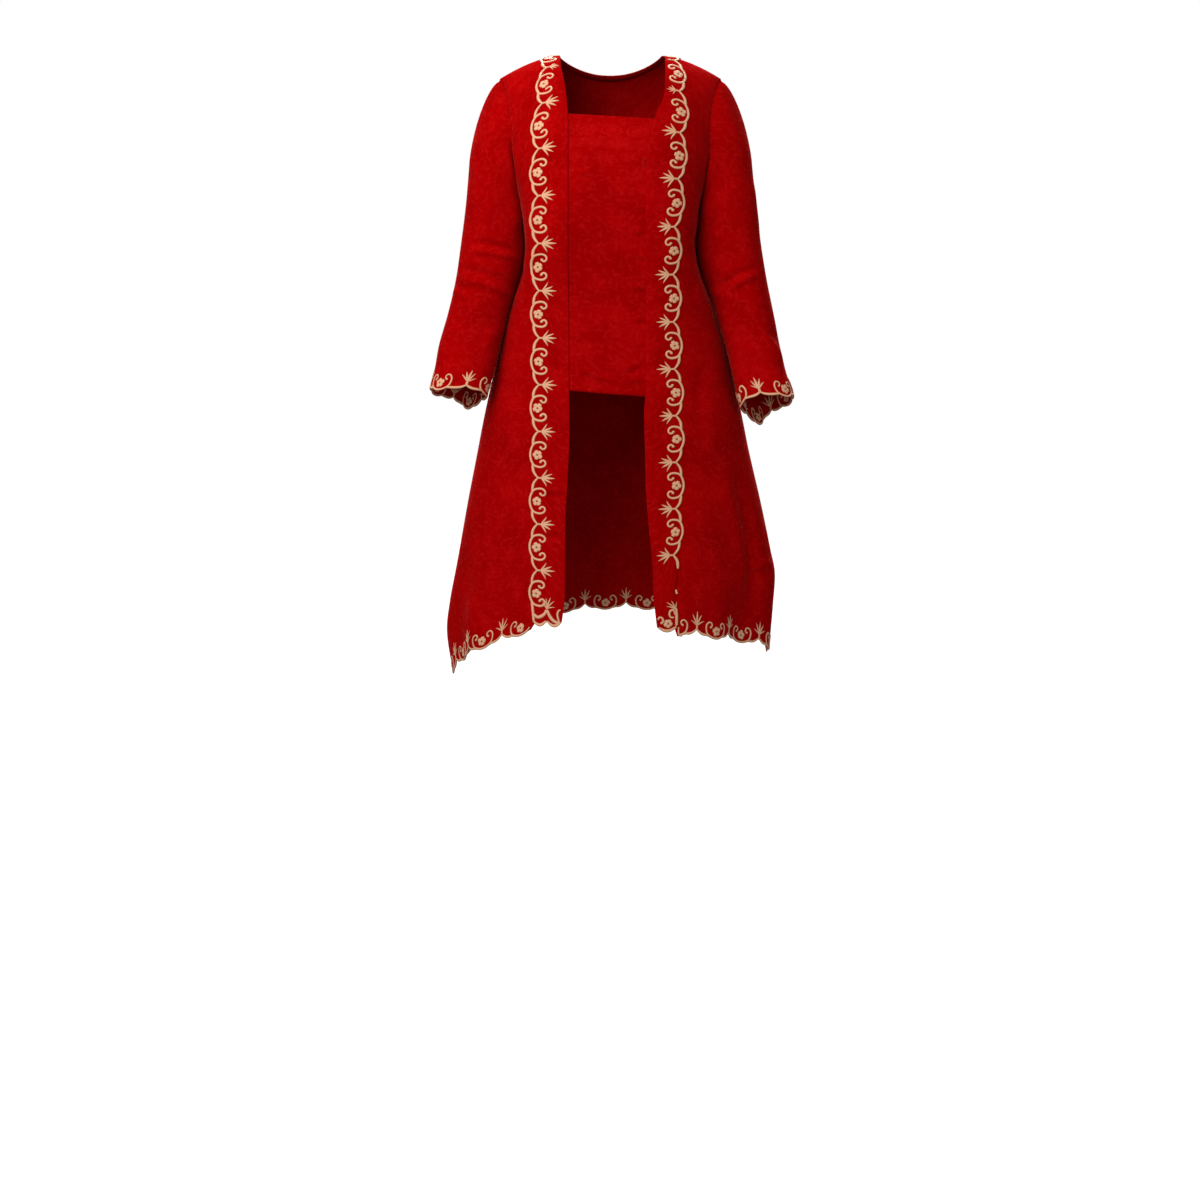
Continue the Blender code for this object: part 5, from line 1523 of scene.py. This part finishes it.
# ---------------------------------------------------------------- fastening loop
class KEBAYA_OT_fastening_loop(Operator):
    """Make the thread loop at the left front's opening edge"""
    bl_idname = "kebaya.fastening_loop"
    bl_label = "Fastening loop"

    def execute(self, context):
        thread = context.scene.kebaya_thread
        red = finish("red_thread_twisted", twisted_thread, tuple(thread.red))
        edge_x = float(OPENING.read("left", LOOP_DROP)) - SEAM - 2 * LOOP_WIRE - LAYER_GAP
        path = []
        for k in range(25):
            turn = pi * k / 24
            x = edge_x - LOOP_REACH * sin(turn)
            drop = LOOP_DROP + LOOP_LENGTH * (1 - cos(turn)) / 2
            angle = angle_at(x, drop)
            path.append(torso(angle, drop)
                        - torso_normal(angle, drop) * (CLOTH + LAYER_GAP - SEAM - LOOP_WIRE))
        path = np.array(path)
        tangent = unit(np.gradient(path, axis=0))
        side = unit(np.cross(tangent, (0, 1, 0)))
        up = np.cross(side, tangent)
        points = []
        for k in range(len(path)):
            for m in range(10):
                a = 2 * pi * m / 10
                radius = LOOP_WIRE * (1 + 0.16 * cos(2 * (a - k * 0.55)))
                points.append(path[k] + side[k] * radius * cos(a) + up[k] * radius * sin(a))
        faces = grid_faces(len(path), 10, closed=True)
        faces += [list(range(9, -1, -1)), list(range((len(path) - 1) * 10, len(path) * 10))]
        piece = new_mesh_object("fastening_loop_thread", points, faces, np.zeros((len(points), 2)), red)
        dress(piece, "red_thread", "fastening_loop")
        return {"FINISHED"}


# ---------------------------------------------------------------- stage
def hang_light(light, place, aim):
    lamp = bpy.data.objects.new(light.name, light)
    lamp.location = place
    lamp.rotation_euler = (Vector(place) - Vector(aim)).to_track_quat("Z", "Y").to_euler()
    lamp.visible_camera = False
    bpy.context.scene.collection.objects.link(lamp)


def panel_light(name, place, aim, size, power, colour):
    """A square soft light at a place, turned to where it aims."""
    light = bpy.data.lights.new(name, "AREA")
    light.size, light.energy, light.color = size, power, colour
    hang_light(light, place, aim)


def far_light(name, turn, height, strength, spread, colour):
    """A wide light far off: how far round from the front it stands, how high, and how wide it is, in
    degrees."""
    light = bpy.data.lights.new(name, "SUN")
    light.angle, light.energy, light.color = radians(spread), strength, colour
    a, e = radians(turn), radians(height)
    hang_light(light, (3 * sin(a) * cos(e), -3 * cos(a) * cos(e), 3 * sin(e)), (0, 0, 0))


class KEBAYA_OT_stage(Operator):
    """Set the pale floor, the soft light and the camera"""
    bl_idname = "kebaya.stage"
    bl_label = "Stage"

    def execute(self, context):
        stage = context.scene.kebaya_stage
        half, z = 12.0, -stage.floor_drop
        corners = [(-half, -half, z), (half, -half, z), (half, half, z), (-half, half, z)]
        mesh = bpy.data.meshes.new("floor")
        mesh.from_pydata(corners, [], [[0, 1, 2, 3]])
        mesh.materials.append(finish("studio_floor_matt_paint", painted_floor, tuple(stage.floor)))
        floor = bpy.data.objects.new("floor", mesh)
        floor.visible_diffuse = floor.visible_glossy = False      # so that it gives the cloth no light
        context.scene.collection.objects.link(floor)

        world = bpy.data.worlds.new("studio")
        world.use_nodes = True
        # the wall of the studio is white, and the room gives less light than the lamps
        seen = node(world.node_tree, "ShaderNodeLightPath").outputs["Is Camera Ray"]
        strength = node(world.node_tree, "ShaderNodeMapRange", {"Value": seen, "To Min": stage.daylight})
        back = world.node_tree.nodes["Background"]
        back.inputs["Color"].default_value = (1, 1, 1, 1)
        world.node_tree.links.new(strength.outputs["Result"], back.inputs["Strength"])
        context.scene.world = world
        context.scene.view_settings.view_transform = "Standard"

        # the key stands near enough for the skirt to lie a little darker than the chest
        panel_light("key", (-0.72, -1.20, 0.70), (0, -0.1, -0.2), 1.3, stage.key, (1.0, 0.99, 0.98))
        far_light("back_light", 180, 45, stage.back, 35, (0.985, 0.99, 1.0))

        camera = bpy.data.cameras.new("camera")
        camera.lens = stage.lens
        camera.sensor_width = 36.0
        camera.clip_start, camera.clip_end = 0.05, 60
        eye = bpy.data.objects.new("camera", camera)
        eye.location = (stage.aside, -stage.distance, stage.height)
        eye.rotation_euler = (pi / 2 - stage.tilt, 0, 0)
        context.scene.collection.objects.link(eye)
        context.scene.camera = eye
        return {"FINISHED"}


class KEBAYA_PT_blouse(Panel):
    """Everything of the kebaya blouse in one place"""
    bl_idname = "KEBAYA_PT_blouse"
    bl_label = "Kebaya blouse"
    bl_space_type = "VIEW_3D"
    bl_region_type = "UI"
    bl_category = "Kebaya"

    def draw(self, context):
        for operator in OPERATORS:
            self.layout.operator(operator.bl_idname)
        for group in ("kebaya_cloth", "kebaya_thread", "kebaya_stage"):
            box = self.layout.box()
            owner = getattr(context.scene, group)
            for name in owner.bl_rna.properties.keys():
                if name not in ("rna_type", "name"):
                    box.prop(owner, name)


GROUPS = {"kebaya_cloth": KebayaCloth, "kebaya_thread": KebayaThread, "kebaya_stage": KebayaStage}
OPERATORS = (KEBAYA_OT_fronts, KEBAYA_OT_back, KEBAYA_OT_bands, KEBAYA_OT_neck_band,
             KEBAYA_OT_centre_panel, KEBAYA_OT_sleeves, KEBAYA_OT_fastening_loop, KEBAYA_OT_stage)


def register():
    for cls in (*GROUPS.values(), *OPERATORS, KEBAYA_PT_blouse):
        bpy.utils.register_class(cls)
    for name, group in GROUPS.items():
        setattr(bpy.types.Scene, name, PointerProperty(type=group))


def unregister():
    for name in GROUPS:
        delattr(bpy.types.Scene, name)
    for cls in reversed((*GROUPS.values(), *OPERATORS, KEBAYA_PT_blouse)):
        bpy.utils.unregister_class(cls)


def main():
    register()
    bpy.ops.kebaya.stage()
    bpy.ops.kebaya.fronts()
    bpy.ops.kebaya.back()
    bpy.ops.kebaya.bands()
    bpy.ops.kebaya.neck_band()
    bpy.ops.kebaya.centre_panel()
    bpy.ops.kebaya.sleeves()
    bpy.ops.kebaya.fastening_loop()


if __name__ == "__main__":
    main()
